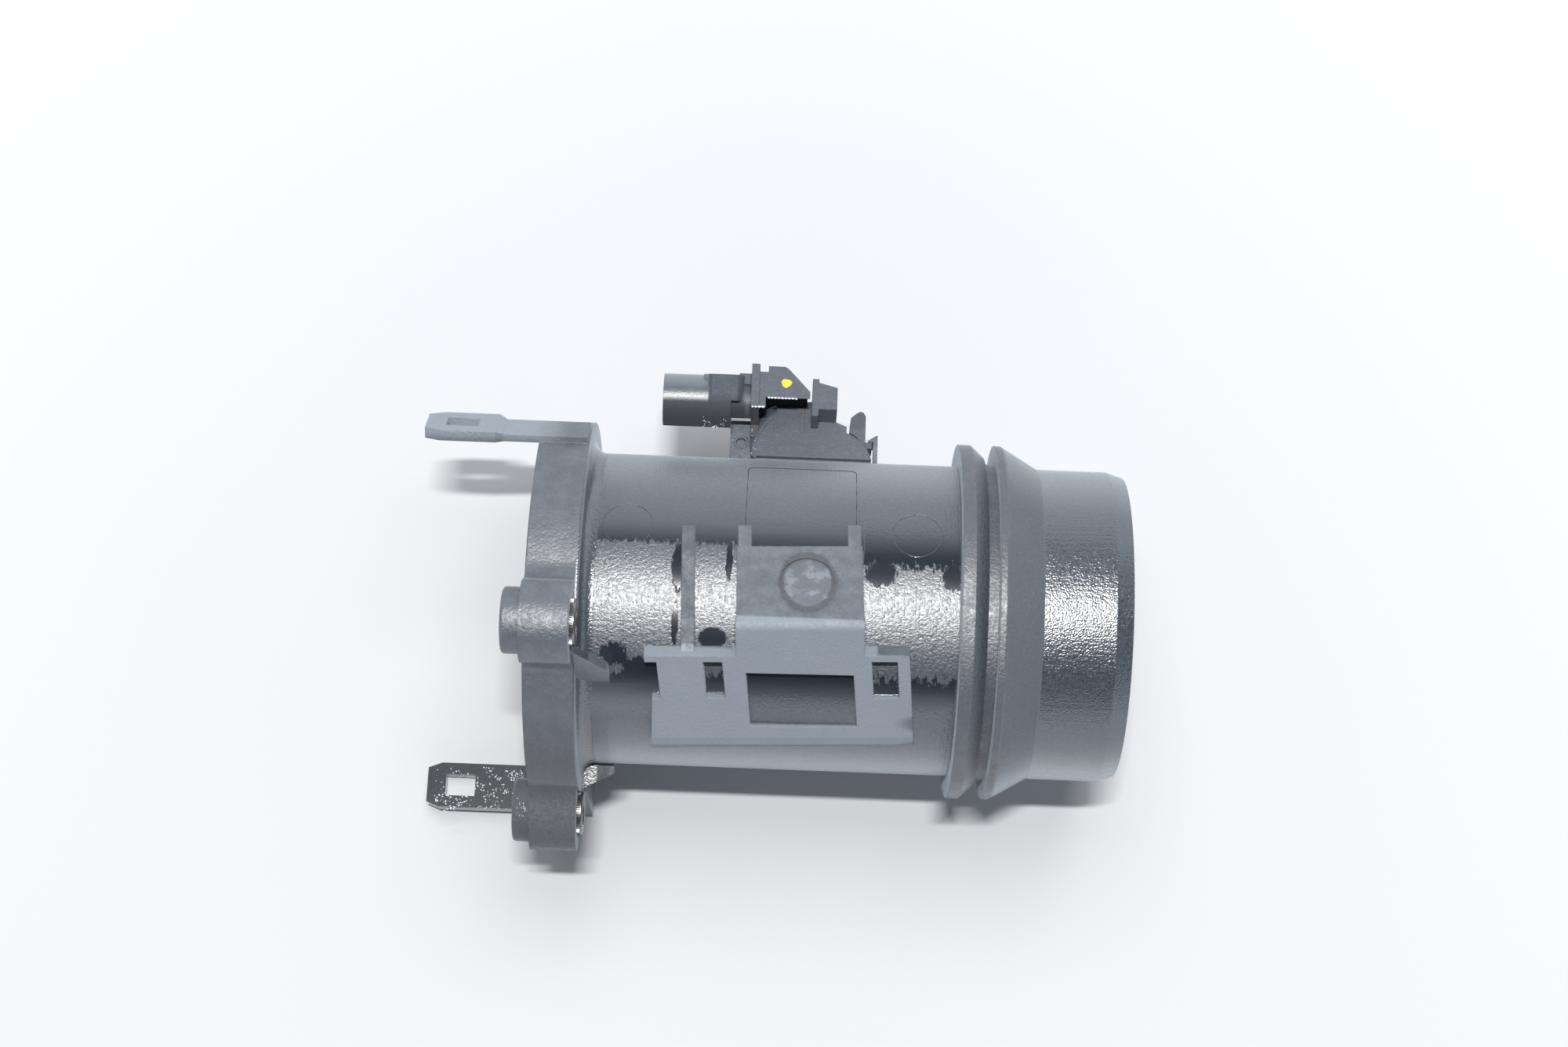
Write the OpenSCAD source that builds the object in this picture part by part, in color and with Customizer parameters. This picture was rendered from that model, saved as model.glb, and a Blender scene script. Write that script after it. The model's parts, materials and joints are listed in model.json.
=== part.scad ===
// Air flow meter: a moulded flow tube with a clip-in sensor, as it sits between
// an air filter box and an intake hose. Millimetres.
// +X runs along the tube from the flange's mating face to the hose spigot, +Z is up.
// A clock angle is read about +X from +Z: 90 points to -Y and -90 to +Y.

/* [Flow tube] */
// Outer diameter of the tube between flange and collar
tube_od = 80; // [74:0.5:84]
// Wall of the tube and of the hose spigot
tube_wall = 2.75; // [2:0.25:4]
// Length from the flange's mating face to the end of the spigot
tube_length = 148.8; // [142:0.2:175]

/* [Flange] */
// Thickness of the flange
flange_thickness = 12.6; // [9:0.2:15]
// How far the round flange rim stands out from the tube
rim_rise = 7.8; // [6.5:0.1:10]
// Distance of the screw holes' middle from the tube
bolt_rise = 12.8; // [12:0.1:15]
// Outer radius of a screw lobe
lobe_radius = 10.1; // [9.5:0.1:11.5]
// Thickness of a screw lobe
lobe_thickness = 11.9; // [9:0.1:12.5]
// Clock angle of the upper lobe
lobe_1_clock = 2.2; // [-10:0.2:12]
// Clock angle of the lower lobe
lobe_2_clock = 86; // [82:1:96]
// Radius of the blend between a lobe and the rim
lobe_blend = 6; // [3:0.5:9]
// Diameter of the round boss on a lobe's mating side
boss_diameter = 16.2; // [14.5:0.1:18]
// How far a boss stands in front of the mating face
boss_height = 4.6; // [3:0.1:7]
// Rounding of a boss's front edge
boss_edge = 0.9; // [0.3:0.1:1.5]
// Fillet between the flange and the tube
root_fillet = 3.4; // [1:0.2:5]

/* [Limiter bushes] */
// Outer diameter of a steel bush
bush_od = 12; // [10:0.1:13]
// Screw clearance hole through a bush
bush_bore = 6.6; // [5:0.1:8]
// How far a bush stands out behind the flange
bush_proud = 1.4; // [0.5:0.1:3]
// Knurl ridge height on a bush
knurl_depth = 0.25; // [0.1:0.05:0.4]

/* [Flange seal and flow grid] */
// Distance of the face seal's middle from the tube
seal_rise = 3.4; // [2.6:0.1:4.2]
// Width of the face seal's groove
seal_groove_width = 2.8; // [2:0.1:3.4]
// Depth of the face seal's groove
seal_groove_depth = 2.2; // [1.5:0.1:3]
// How far the free seal stands in front of the flange
seal_proud = 0.6; // [0.2:0.1:1.2]
// Depth of the seat that holds the flow grid
grid_seat_depth = 11.6; // [9:0.1:12.4]
// Width of the shoulder under the flow grid
grid_shoulder = 1.5; // [1:0.1:2.5]
// Length of the honeycomb cells along the flow
grid_length = 8; // [5:0.2:8.5]
// Honeycomb cell size across its flats
cell_size = 7; // [5:0.25:12]
// Wall between two honeycomb cells
cell_wall = 0.7; // [0.4:0.1:1.2]
// Length of the ring that holds the grid in its seat
ring_length = 2; // [1.2:0.1:2.6]

/* [Collar and spigot] */
// Height of the collar and of the hose lip over the tube
collar_rise = 5.7; // [5:0.1:7]
// Distance of the collar from the mating face
collar_x = 106.2; // [102:0.1:110]
// Width of the collar's flat land
collar_land = 3.2; // [2:0.1:4.5]
// Radial drop of the collar's chamfer
collar_drop = 3.1; // [2:0.1:4]
// Length of the collar's chamfer
collar_chamfer = 3.4; // [2:0.1:4.5]
// Width of the groove between the collar and the hose lip
groove_width = 2.7; // [2:0.1:4]
// Depth of that groove below the collar's chamfer
groove_depth = 1.7; // [1:0.1:2.2]
// Width of the hose lip's land
lip_land = 1.5; // [0.8:0.1:3]
// Length of the cone behind the hose lip
lip_cone = 9.7; // [6:0.1:12]
// Step of the hose spigot's outside over the tube's
spigot_step = 0; // [-1:0.1:2]
// Length of the tapered end of the spigot
spigot_taper = 4.3; // [2:0.1:8]
// Radial drop at the tapered end
spigot_drop = 1.3; // [0.5:0.1:1.7]

/* [Latch tabs] */
// Clock angle of the upper tab's face
tab_1_clock = -67; // [-72:1:-60]
// Reach of the upper tab in front of the mating face
tab_1_reach = 28.7; // [20:0.5:40]
// Clock angle of the lower tab's face, and of the foot that carries it
tab_2_clock = 162; // [158:1:166]
// Reach of the lower tab in front of the mating face
tab_2_reach = 33.2; // [20:0.5:44]
// Sideways place of the lower tab on its foot
tab_2_offset = 35.9; // [33:0.1:38]
// Distance of the foot's sole from the tube
foot_rise = 17.5; // [14:0.1:19]
// Width of a tab's head
tab_width = 12.5; // [10:0.1:14]
// Width of the corner cut at a tab's tip
tip_cut = 1.5; // [0.5:0.1:2.5]
// Width of the upper tab's neck
tab_neck_width = 10.4; // [8.5:0.1:12]
// Thickness of a tab's head
tab_thickness = 2.85; // [2.2:0.05:3.6]
// How deep a tab's inner face is sunk in the rim or the foot that carries it
tab_sink = 0.5; // [0.4:0.1:0.9]
// Step from the upper tab's head down to its neck
tab_step = 0.9; // [0.3:0.1:1.2]
// Length of a latch window
window_length = 8.1; // [6:0.1:10]
// Width of a latch window
window_width = 5.7; // [4:0.1:6.5]
// Distance from a tab's tip to its window
window_inset = 5; // [3:0.1:6.5]

/* [Bracket] */
// Turn of the whole bracket away from the tube's own direction
bracket_turn = 2.2; // [0:0.1:3]
// Clock angle of the bracket's mounting plate
plate_clock = 38; // [36:1:41]
// Height of the plate's face over the tube
plate_rise = 0.9; // [0.6:0.1:2.5]
// Thickness of the plate
plate_thickness = 3.9; // [2.5:0.1:4.2]
// Middle of the bracket along the tube
plate_x = 68.8; // [66:0.1:72]
// Sideways drift of the plate's upright edges for each millimetre down the plate
plate_shear = 0.06; // [0:0.005:0.1]
// Distance of the left wing's end from the middle
wing_left = 38.6; // [36:0.1:40]
// Distance of the right wing's end from the middle
wing_right = 26; // [24:0.1:28]
// Clock angle of the sloped pad
pad_clock = -35.7; // [-37:0.1:-33]
// Height of the pad's face over the tube
pad_rise = 1.25; // [1:0.05:2.4]
// Thickness of the pad
pad_thickness = 2.7; // [2:0.1:3.4]
// Length of the pad along the tube
pad_length = 31.2; // [28:0.2:36]
// Rounding of the ridge between pad and plate
ridge_round = 2.2; // [1:0.1:3]
// Diameter of the shallow round recess in the pad
recess_diameter = 13.4; // [8:0.2:16]
// Depth of that recess
recess_depth = 0.6; // [0.3:0.1:1.2]
// Thickness of the bracket's ribs
rib_thickness = 3.2; // [2.2:0.1:4]
// Thickness of the flange gussets
gusset_thickness = 2.2; // [1.5:0.1:3.5]

/* [Sensor seat] */
// Place of the sensor along the tube
sensor_x = 68.8; // [66:0.1:72]
// Angle by which the sensor points below level
sensor_droop = 20; // [17:1:24]
// Height of the sensor's seat over the tube
seat_rise = 3.5; // [3:0.1:4.2]
// Radius of the hole that takes the sensor's neck
neck_hole = 9; // [8.7:0.1:9.2]
// Radial clearance round the sensor's neck
neck_gap = 0.2; // [0.1:0.05:0.3]
// Running clearance between parts that clip or slide together
fit_gap = 0.05; // [0.02:0.01:0.1]

/* [Sensor housing] */
// Radius of the round electronics drum
drum_radius = 16; // [15.7:0.1:16.1]
// Half width of the drum across the tube
drum_half = 12.2; // [12:0.1:13]
// Wall of the drum
drum_wall = 1.4; // [1.2:0.1:1.8]
// Thickness of the housing's base
base_thickness = 2.5; // [2:0.1:3]
// Half length of the blade across the flow
blade_half = 8.3; // [7.5:0.1:8.4]
// Thickness of the blade
blade_thickness = 9; // [8:0.1:9.4]
// Distance of the blade's tip from the tube axis
blade_tip = 4; // [0:0.5:8]

/* [Connector] */
// Outer diameter of the plug socket
socket_od = 13.5; // [12.8:0.1:15]
// Bore of the plug socket
socket_bore = 11; // [10:0.1:11.6]
// Depth of the plug socket
socket_depth = 14; // [10:0.5:16]
// Distance of the socket's mouth from the sensor's centre
socket_reach = 39; // [36:0.5:42]
// Pitch of the contact pins
pin_pitch = 1.8; // [1.4:0.1:2]
// Width of a contact pin
pin_width = 0.64; // [0.5:0.02:0.9]

/* [Hidden] */
$fn = 96;

black_plastic = [0.13, 0.14, 0.16];
dark_steel = [0.30, 0.30, 0.31];
soft_rubber = [0.07, 0.07, 0.07];

tube_r = tube_od / 2;
duct_r = tube_r - tube_wall;
spigot_r = tube_r + spigot_step;
rim_radius = tube_r + rim_rise;
bolt_radius = tube_r + bolt_rise;
seal_radius = tube_r + seal_rise;
foot_height = tube_r + foot_rise;
collar_radius = tube_r + collar_rise;
plate_height = tube_r + plate_rise;
pad_height = tube_r + pad_rise;
seat_height = tube_r + seat_rise;
seat_r = duct_r + grid_shoulder;
eps = 0.01;

collar_end = collar_x + collar_land;
chamfer_end = collar_end + collar_chamfer;
lip_x = chamfer_end + groove_width;
cone_x = lip_x + lip_land;
cone_end = cone_x + lip_cone;

// Maps a 2D section drawn in (Y, Z) and extruded up onto the tube's own axes.
module along_tube() {
    rotate([90, 0, 90]) children();
}

// Turns +Z outwards at a clock angle.
module at_clock(angle) {
    rotate([angle, 0, 0]) children();
}

// Local frame of the sensor: +Y points out of the tube, +Z across it towards the top.
module at_sensor() {
    translate([sensor_x, 0, 0]) rotate([-sensor_droop, 0, 0]) children();
}

// Block between two corners.
module block(low, high) {
    translate(low) cube([high[0] - low[0], high[1] - low[1], high[2] - low[2]]);
}

// Cylinder along local +Y between two heights.
module post_y(radius, from, to) {
    translate([0, from, 0]) rotate([-90, 0, 0]) cylinder(r = radius, h = to - from);
}

// Screw lobe with tangent blends to the flange rim, for a section in (Y, Z).
module lobe_section(angle) {
    reach = rim_radius + lobe_blend;
    span = lobe_radius + lobe_blend;
    blend_y = (reach * reach - span * span + bolt_radius * bolt_radius) / (2 * bolt_radius);
    blend_x = sqrt(reach * reach - blend_y * blend_y);
    rotate(angle) {
        translate([0, bolt_radius]) circle(r = lobe_radius);
        difference() {
            polygon([[0, 0], [blend_x, blend_y], [0, bolt_radius], [-blend_x, blend_y]]);
            for (side = [-1, 1])
                translate([side * blend_x, blend_y]) circle(r = lobe_blend);
        }
    }
}

// Foot below the lower lobe: it carries the lower tab, and the part lies on it.
foot_side = tab_2_offset + tab_width / 2 + 0.3;
foot_toe = tab_2_offset - tab_width / 2 - 2.8;
foot_heel = [0.6, rim_radius - 1.2];
module foot_section() {
    rotate(tab_2_clock)
        polygon([[0, 0], foot_heel, [foot_toe, foot_height],
            [foot_side, foot_height], [foot_side, foot_height / 2], [foot_side / 2, 0]]);
}

module flange_body() {
    along_tube() linear_extrude(flange_thickness) {
        circle(r = rim_radius);
        foot_section();
    }
    along_tube() linear_extrude(lobe_thickness) {
        lobe_section(lobe_1_clock);
        lobe_section(lobe_2_clock);
    }
    for (angle = [lobe_1_clock, lobe_2_clock]) flange_boss(angle);
}

// Round boss on the mating side, with a rounded front edge.
module flange_boss(angle) {
    boss_r = boss_diameter / 2;
    at_clock(angle) translate([-boss_height, 0, bolt_radius]) rotate([0, 90, 0])
        rotate_extrude() {
            square([boss_r - boss_edge, boss_height + eps]);
            translate([0, boss_edge]) square([boss_r, boss_height + eps - boss_edge]);
            translate([boss_r - boss_edge, boss_edge]) circle(r = boss_edge);
        }
}

// Outside of the turned form: tube, collar, groove, hose lip and spigot.
module tube_outside() {
    groove_r = collar_radius - collar_drop - groove_depth;
    along_tube() rotate_extrude() {
        polygon([[0, 0], [tube_r, 0], [tube_r, collar_x], [collar_radius, collar_x],
            [collar_radius, collar_end], [collar_radius - collar_drop, chamfer_end],
            [groove_r, chamfer_end], [groove_r, lip_x], [collar_radius, lip_x],
            [collar_radius, cone_x], [spigot_r, cone_end], [spigot_r, tube_length - spigot_taper],
            [spigot_r - spigot_drop, tube_length], [0, tube_length]]);
        difference() {
            translate([tube_r - eps, flange_thickness - eps]) square(root_fillet + eps);
            translate([tube_r + root_fillet, flange_thickness + root_fillet])
                circle(r = root_fillet);
        }
    }
}

// Duct with the stepped seat of the flow grid at its mouth.
module duct() {
    along_tube() rotate_extrude()
        polygon([[0, -boss_height], [seat_r, -boss_height], [seat_r, grid_seat_depth],
            [duct_r, grid_seat_depth], [duct_r, lip_x], [spigot_r - tube_wall, cone_end],
            [spigot_r - tube_wall, tube_length + 1], [0, tube_length + 1]]);
}

// Latch tab along -X, drawn flat: its inner face lies on the XY plane.
module latch_tab(reach, neck_width, step) {
    head_length = window_inset + window_length + 4.6;
    difference() {
        union() {
            linear_extrude(tab_thickness)
                polygon([[-reach + 3.8, -tab_width / 2], [-reach, -tab_width / 2 + tip_cut],
                    [-reach, tab_width / 2 - tip_cut], [-reach + 3.8, tab_width / 2],
                    [head_length - reach, tab_width / 2], [head_length - reach + 2, neck_width / 2],
                    [head_length - reach + 2, -neck_width / 2],
                    [head_length - reach, -tab_width / 2]]);
            translate([-reach + head_length, -neck_width / 2, 0])
                cube([reach - head_length + flange_thickness - tab_sink, neck_width,
                    tab_thickness - step]);
        }
        translate([-reach + window_inset, -window_width / 2, -1])
            cube([window_length, window_width, tab_thickness + 2]);
        if (step > 0)
            translate([head_length - reach, 0, tab_thickness])
                rotate([90, 0, 0]) linear_extrude(tab_width, center = true)
                    polygon([[0, eps], [2.1, -step], [2.1, eps]]);
    }
}

module latch_tabs() {
    at_clock(tab_1_clock) translate([0, 0, rim_radius - tab_sink])
        latch_tab(tab_1_reach, tab_neck_width, tab_step);
    at_clock(tab_2_clock) translate([0, tab_2_offset, foot_height - tab_sink])
        latch_tab(tab_2_reach, tab_width, 0);
}

// Web that props a lobe against the tube: full height at the flange, low at its far end.
module gusset(root_clock, lean, height, end_height, length) {
    at_clock(root_clock) translate([flange_thickness - eps, 0, tube_r - 0.8])
        rotate([lean, 0, 0]) translate([0, gusset_thickness / 2, 0]) rotate([90, 0, 0])
            linear_extrude(gusset_thickness)
                polygon([[0, 0], [length, 0], [length, end_height - 0.6],
                    [length - 0.6, end_height], [0, height]]);
}

// Point at a clock angle and a radius, as (Y, Z).
function at_angle(angle, radius) = [-radius * sin(angle), radius * cos(angle)];

// Point on a flat face: its clock angle, its height and a distance up its slope, as (Y, Z).
function on_face(angle, height, v) =
    [-height * sin(angle) + v * cos(angle), height * cos(angle) + v * sin(angle)];

// Point of the mounting plate: x from its middle, v up its slope, with the drift of its edges.
function on_plate(x, v) = [x - plate_shear * v, v];

// Ridge where the faces of pad and plate meet, as a distance up each face.
corner_angle = plate_clock - pad_clock;
plate_ridge = (pad_height - plate_height * cos(corner_angle)) / sin(corner_angle);
pad_ridge = (plate_height - pad_height * cos(corner_angle)) / sin(corner_angle);
pad_left = -pad_length / 2 - 1.9;
pad_right = pad_left + pad_length;
pad_start = 7.2;
pad_inset = 0.2;
rib_inset = 0.5;
wing_top = 21.3;
plate_foot = -8.4;
foot_bevel = -5.4;
beyond = 50;
slot_low = 7.6;
slot_high = 19.4;

module plate_hole(left, right, low, high) {
    polygon([on_plate(left, low), on_plate(right, low), on_plate(right, high),
        on_plate(left, high)]);
}

// Plate outline: two wings with slots, a tongue up to the ridge and a large window.
module plate_outline() {
    difference() {
        polygon([on_plate(-wing_left - 0.8, plate_foot), on_plate(wing_right, plate_foot),
            on_plate(wing_right, wing_top), [pad_right, wing_top], [pad_right, plate_ridge],
            [pad_left, plate_ridge], [pad_left, wing_top], on_plate(-wing_left, wing_top),
            on_plate(-wing_left, slot_high), on_plate(-35.7, slot_high),
            on_plate(-35.7, slot_low), on_plate(-wing_left + 0.8, slot_low)]);
        polygon([on_plate(-14.3, -1.8), on_plate(12.15, -1.8), on_plate(12.15, 15.1),
            on_plate(-14.3, 15.9)]);
        plate_hole(-24.45, -19.7, slot_low, slot_high);
        plate_hole(16.7, 23, slot_low, slot_high);
    }
}

// Rounds the ridge: the corner beyond the arc that touches both faces.
module ridge_cutter() {
    reach = ridge_round * tan(corner_angle / 2);
    centre = on_face(plate_clock, plate_height - ridge_round, plate_ridge - reach);
    translate([pad_left - 1, 0, 0]) along_tube() linear_extrude(pad_length + 2) difference() {
        polygon([centre, on_face(plate_clock, plate_height + eps, plate_ridge - reach),
            on_face(plate_clock, plate_height + 1, plate_ridge + 1),
            on_face(pad_clock, pad_height + eps, reach - pad_ridge)]);
        translate(centre) circle(r = ridge_round);
    }
}

module pad_and_plate() {
    difference() {
        union() {
            at_clock(plate_clock) translate([0, 0, plate_height - plate_thickness])
                linear_extrude(plate_thickness) plate_outline();
            at_clock(pad_clock)
                block([pad_left + pad_inset, -pad_ridge, pad_height - pad_thickness],
                    [pad_right - pad_inset, -pad_start, pad_height]);
        }
        ridge_cutter();
        at_clock(plate_clock) translate([-beyond, foot_bevel, plate_height]) rotate([14, 0, 0])
            translate([0, -beyond, 0]) cube([2 * beyond, beyond, beyond]);
        at_clock(pad_clock) translate([-0.2, -17.4, pad_height - recess_depth])
            cylinder(d = recess_diameter, h = recess_depth + 1);
    }
}

// Rib under the bracket, drawn in (Y, Z) from its low start on the tube to its top.
module bracket_rib(x, top_points) {
    translate([x, 0, 0]) along_tube() linear_extrude(rib_thickness)
        polygon(concat([at_angle(-36, duct_r + 0.8), at_angle(-34.6, tube_r + 1.1)], top_points,
            [at_angle(14, duct_r + 0.8), at_angle(-10, duct_r + 0.8)]));
}

module bracket() {
    shoulder = on_face(pad_clock, pad_height - 0.4, -pad_start - 1);
    ridge = on_face(plate_clock, plate_height - 2, plate_ridge - 1.5);
    knee = on_face(plate_clock, plate_height - 1, 16);
    wing = on_face(plate_clock, plate_height - 0.4, wing_top - 1.2);
    translate([plate_x, 0, 0]) rotate([0, 0, bracket_turn]) {
        pad_and_plate();
        bracket_rib(pad_left + rib_inset, [shoulder, ridge, knee]);
        bracket_rib(pad_right - rib_inset - rib_thickness, [shoulder, ridge, knee]);
        bracket_rib(pad_left - 13.4, [shoulder, wing, knee]);
    }
}

// Side outline of the electronics drum, above a given height.
drum_y = seat_height - 4.7;
drum_clear = seat_height + 16.5;
step_low = seat_height + 4.6;
step_top = seat_height + 5.6;
shoulder_centre = [5.6, seat_height - 6.6];
shoulder_radius = 9.95;
module drum_outline(low) {
    intersection() {
        translate([0, drum_y]) circle(r = drum_radius);
        polygon([[-drum_radius, low], [6.3, low], [6.3, step_top], [3.2, step_top + 1.3],
            [3.2, drum_clear], [-drum_radius, drum_clear]]);
    }
    polygon([[0, low], [8.7, low], [8.7, step_low], [6.3, step_top], [0, step_top]]);
    intersection() {
        translate(shoulder_centre) circle(r = shoulder_radius);
        polygon([[0, low], [16, low], [16, drum_clear], [0, drum_clear]]);
    }
}

// Seat, keeper and snap arm that hold the sensor on the tube.
seat_front = 10.6;
skirt_low = seat_height - 4.4;
keeper_left = -21.6;
keeper_right = -16.2;
keeper_half = 9;
keeper_top = seat_height + 6.5;
tongue_half = 6;
base_top = seat_height + base_thickness;
ledge_low = seat_height + 1.4;
ledge_top = ledge_low + 1.7;
arm_low = duct_r + 0.75;
arm_top = ledge_top + 1.8;
module sensor_seat() {
    at_sensor() {
        intersection() {
            translate([0, 0, -drum_half]) linear_extrude(drum_half + seat_front)
                drum_outline(duct_r - 4);
            block([-drum_radius, duct_r - 4, -drum_half], [drum_radius, seat_height, seat_front]);
        }
        difference() {
            block([keeper_left, duct_r - 4, -keeper_half], [keeper_right, keeper_top, keeper_half]);
            block([keeper_right - 2.4, seat_height, -tongue_half - fit_gap],
                [keeper_right + 1, base_top + fit_gap, tongue_half + fit_gap]);
            block([keeper_left + 1.4, seat_height - 0.8, keeper_half - 1.2],
                [keeper_left + 4.6, seat_height + 1.8, keeper_half + 1]);
        }
        block([keeper_right - 1, duct_r - 4, -keeper_half],
            [keeper_right + 2, seat_height, keeper_half]);
        linear_extrude(6)
            polygon([[16, arm_low], [17.1, arm_low], [17.1, arm_top], [16.7, arm_top],
                [14.6, ledge_top + 0.4], [14.6, ledge_top + fit_gap],
                [16, ledge_top + fit_gap]]);
    }
}

module tube_housing() {
    color(black_plastic) difference() {
        union() {
            flange_body();
            tube_outside();
            latch_tabs();
            gusset(24, -46, 21, 9, 8);
            gusset(90, 0, 7.7, 4, 8);
            bracket();
            sensor_seat();
        }
        duct();
        face_groove();
        at_sensor() post_y(neck_hole, duct_r - 12, seat_height + 1);
        for (angle = [lobe_1_clock, lobe_2_clock]) bush_hole(angle);
    }
}

module face_groove() {
    along_tube() translate([0, 0, -1]) difference() {
        cylinder(r = seal_radius + seal_groove_width / 2, h = seal_groove_depth + 1);
        translate([0, 0, -1])
            cylinder(r = seal_radius - seal_groove_width / 2, h = seal_groove_depth + 3);
    }
}

module bush_hole(angle) {
    at_clock(angle) translate([-boss_height - 1, 0, bolt_radius]) rotate([0, 90, 0])
        cylinder(d = bush_od, h = boss_height + flange_thickness + 2);
}

// Steel bush with a knurled band at each end and a plain waist in the boss.
module limiter_bush(angle) {
    length = boss_height + lobe_thickness + bush_proud;
    color(dark_steel) at_clock(angle) translate([-boss_height, 0, bolt_radius])
        rotate([0, 90, 0]) rotate_extrude()
            polygon([[bush_bore / 2, 0.4], [bush_bore / 2 + 0.4, 0], [bush_od / 2 - 0.5, 0],
                [bush_od / 2, 0.5], [bush_od / 2, length * 0.4],
                [bush_od / 2 - knurl_depth, length * 0.42],
                [bush_od / 2 - knurl_depth, length * 0.5], [bush_od / 2, length * 0.52],
                [bush_od / 2, length - 0.5], [bush_od / 2 - 0.5, length],
                [bush_bore / 2 + 0.4, length], [bush_bore / 2, length - 0.4]]);
}

module bush_upper() {
    limiter_bush(lobe_1_clock);
}

module bush_lower() {
    limiter_bush(lobe_2_clock);
}

// Rubber face seal: a flat foot in the groove and a rounded bead in front.
module flange_seal() {
    bead = seal_groove_width / 2 - fit_gap;
    color(soft_rubber) along_tube() rotate_extrude() {
        translate([seal_radius - bead, bead - seal_proud])
            square([2 * bead, seal_groove_depth - bead + seal_proud]);
        translate([seal_radius, bead - seal_proud]) circle(r = bead);
    }
}

grid_front = grid_seat_depth - grid_length;
grid_r = seat_r - fit_gap;
grid_rim = 1.6;
// Honeycomb straightener with a plain rim, moulded in one.
module flow_grid() {
    pitch = cell_size + cell_wall;
    rows = ceil(grid_r / (pitch * sin(60)));
    columns = ceil(grid_r / pitch);
    cell_r = cell_size / 2 / cos(30);
    color([0.16, 0.17, 0.18]) along_tube() translate([0, 0, grid_front])
        linear_extrude(grid_length) difference() {
            circle(r = grid_r);
            intersection() {
                circle(r = grid_r - grid_rim);
                for (row = [-rows:rows], column = [-columns:columns])
                    translate([(column + (abs(row) % 2) / 2) * pitch, row * pitch * sin(60)])
                        rotate(30) circle(r = cell_r, $fn = 6);
            }
        }
}

// Split-free ring that is pressed in front of the grid.
module grid_ring() {
    color([0.16, 0.17, 0.18]) along_tube() translate([0, 0, grid_front - ring_length])
        rotate_extrude()
            polygon([[grid_r - grid_rim, 0.4], [grid_r - grid_rim + 0.4, 0], [grid_r - 0.4, 0],
                [grid_r, 0.4], [grid_r, ring_length], [grid_r - grid_rim, ring_length]]);
}

// Outline of the hollow in the drum, set in from the drum's side.
cavity_low = seat_height + base_thickness - drum_wall;
module cavity_outline(inset) {
    low = cavity_low + inset;
    intersection() {
        translate([0, drum_y]) circle(r = drum_radius - inset);
        polygon([[-drum_radius, low], [8.7 - inset, low], [8.7 - inset, step_low + 0.3 - inset],
            [6.2 - inset * 0.7, step_top - 0.1 - inset],
            [3.2 - inset, step_top + 1.1 - inset * 0.6],
            [3.2 - inset, drum_clear], [-drum_radius, drum_clear]]);
    }
}

// Wedge-shaped hub, drawn from the seat up: it leads the pins over the drum's rim.
hub_front = 25;
hub_slant = 22;
hub_low = 4.2;
hub_step = 6.8;
hub_top = 15.5;
socket_y = seat_height + 7.85;
socket_z = 18.5;
module hub() {
    shelf = hub_top - 1.6;
    translate([0, seat_height, 0]) {
        difference() {
            translate([0, 0, drum_half - 1]) linear_extrude(hub_front - drum_half + 1)
                polygon([[-16.4, hub_low], [-16.4, shelf], [-12.1, shelf], [-12.1, hub_top],
                    [-8, hub_top], [-7.3, hub_top - 0.3], [-6.6, hub_top - 0.9], [-1.2, 8.7],
                    [-1.2, hub_step], [-12.6, hub_step], [-12.6, hub_low]]);
            hub_undercut(-17, hub_low, 4.4);
            hub_undercut(-12.6, hub_step, 14);
        }
        translate([0, 0, -1]) linear_extrude(drum_half + 1.2)
            polygon([[-9.6, 3.5], [-9.6, shelf - 2], [-3.2, shelf - 2], [-3.2, 7.5]]);
        block([-16.4, 1, 8], [-14.3, shelf, drum_half]);
        block([-16.4, hub_low, drum_half - 1], [-14.3, hub_top + 0.3, hub_front + 0.6]);
        block([-19.6, shelf - 2.4, 14], [-16.3, shelf + 0.6, 22]);
    }
}

// Slanted space below the hub's front edge.
module hub_undercut(x, low, length) {
    translate([x, low, hub_front]) rotate([hub_slant, 0, 0])
        translate([0, -12, -20]) cube([length, 12, 21]);
}

// Tall fin, latch block and catch on the right of the hub, drawn from the seat up.
module fin_block() {
    translate([0, seat_height, 8]) linear_extrude(13)
        polygon([[-0.6, 3.8], [-0.6, 14.1], [1.1, 14.1], [1.1, 13.1], [5.9, 11.8],
            [5.9, 5.7], [1.1, 5.7], [1.1, 3.8]]);
    translate([0, seat_height, 1]) linear_extrude(6)
        polygon([[12.3, -2.5], [13.8, -2.5], [13.8, 9.9], [13.2, 10.9], [12.3, 11.2],
            [11.2, 10.5], [9.9, 9.3], [9.6, 6.9], [9.6, 5.1], [11, 4.3], [12.3, 3.1]]);
}

module socket() {
    translate([0, socket_y, socket_z]) {
        translate([-socket_reach, 0, 0]) rotate([0, 90, 0])
            cylinder(d = socket_od, h = socket_reach - 21.5);
        translate([-22, 0.25, 0]) rotate([0, 90, 0]) cylinder(r = 4.4, h = 6);
        rotate([sensor_droop, 0, 0]) latch_ramp();
    }
}

// Square corner on the socket, level with the tube, that the plug's latch snaps over.
module latch_ramp() {
    top = socket_od / 2;
    translate([0, top, 0]) rotate([90, 0, 0]) linear_extrude(top)
        polygon([[-28.8, 0], [-28.8, 3.6], [-26.6, top], [-19.8, top], [-18.4, 3.6], [-18.4, 0]]);
}

module socket_cavity() {
    translate([-socket_reach - 1, socket_y, socket_z]) rotate([0, 90, 0])
        cylinder(d = socket_bore, h = socket_depth + 1);
}

// Contact pins: a leg in the socket, a leg behind the drum's rim and a foot on the board.
pin_y = socket_y + 2.85;
pin_start = -34;
pin_foot = pin_y - 5;
board_face = 0;
function pin_z(i) = socket_z + (i - 1.5) * pin_pitch;
function pin_bend(i) = -8.1 + 1.4 * i;

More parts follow.
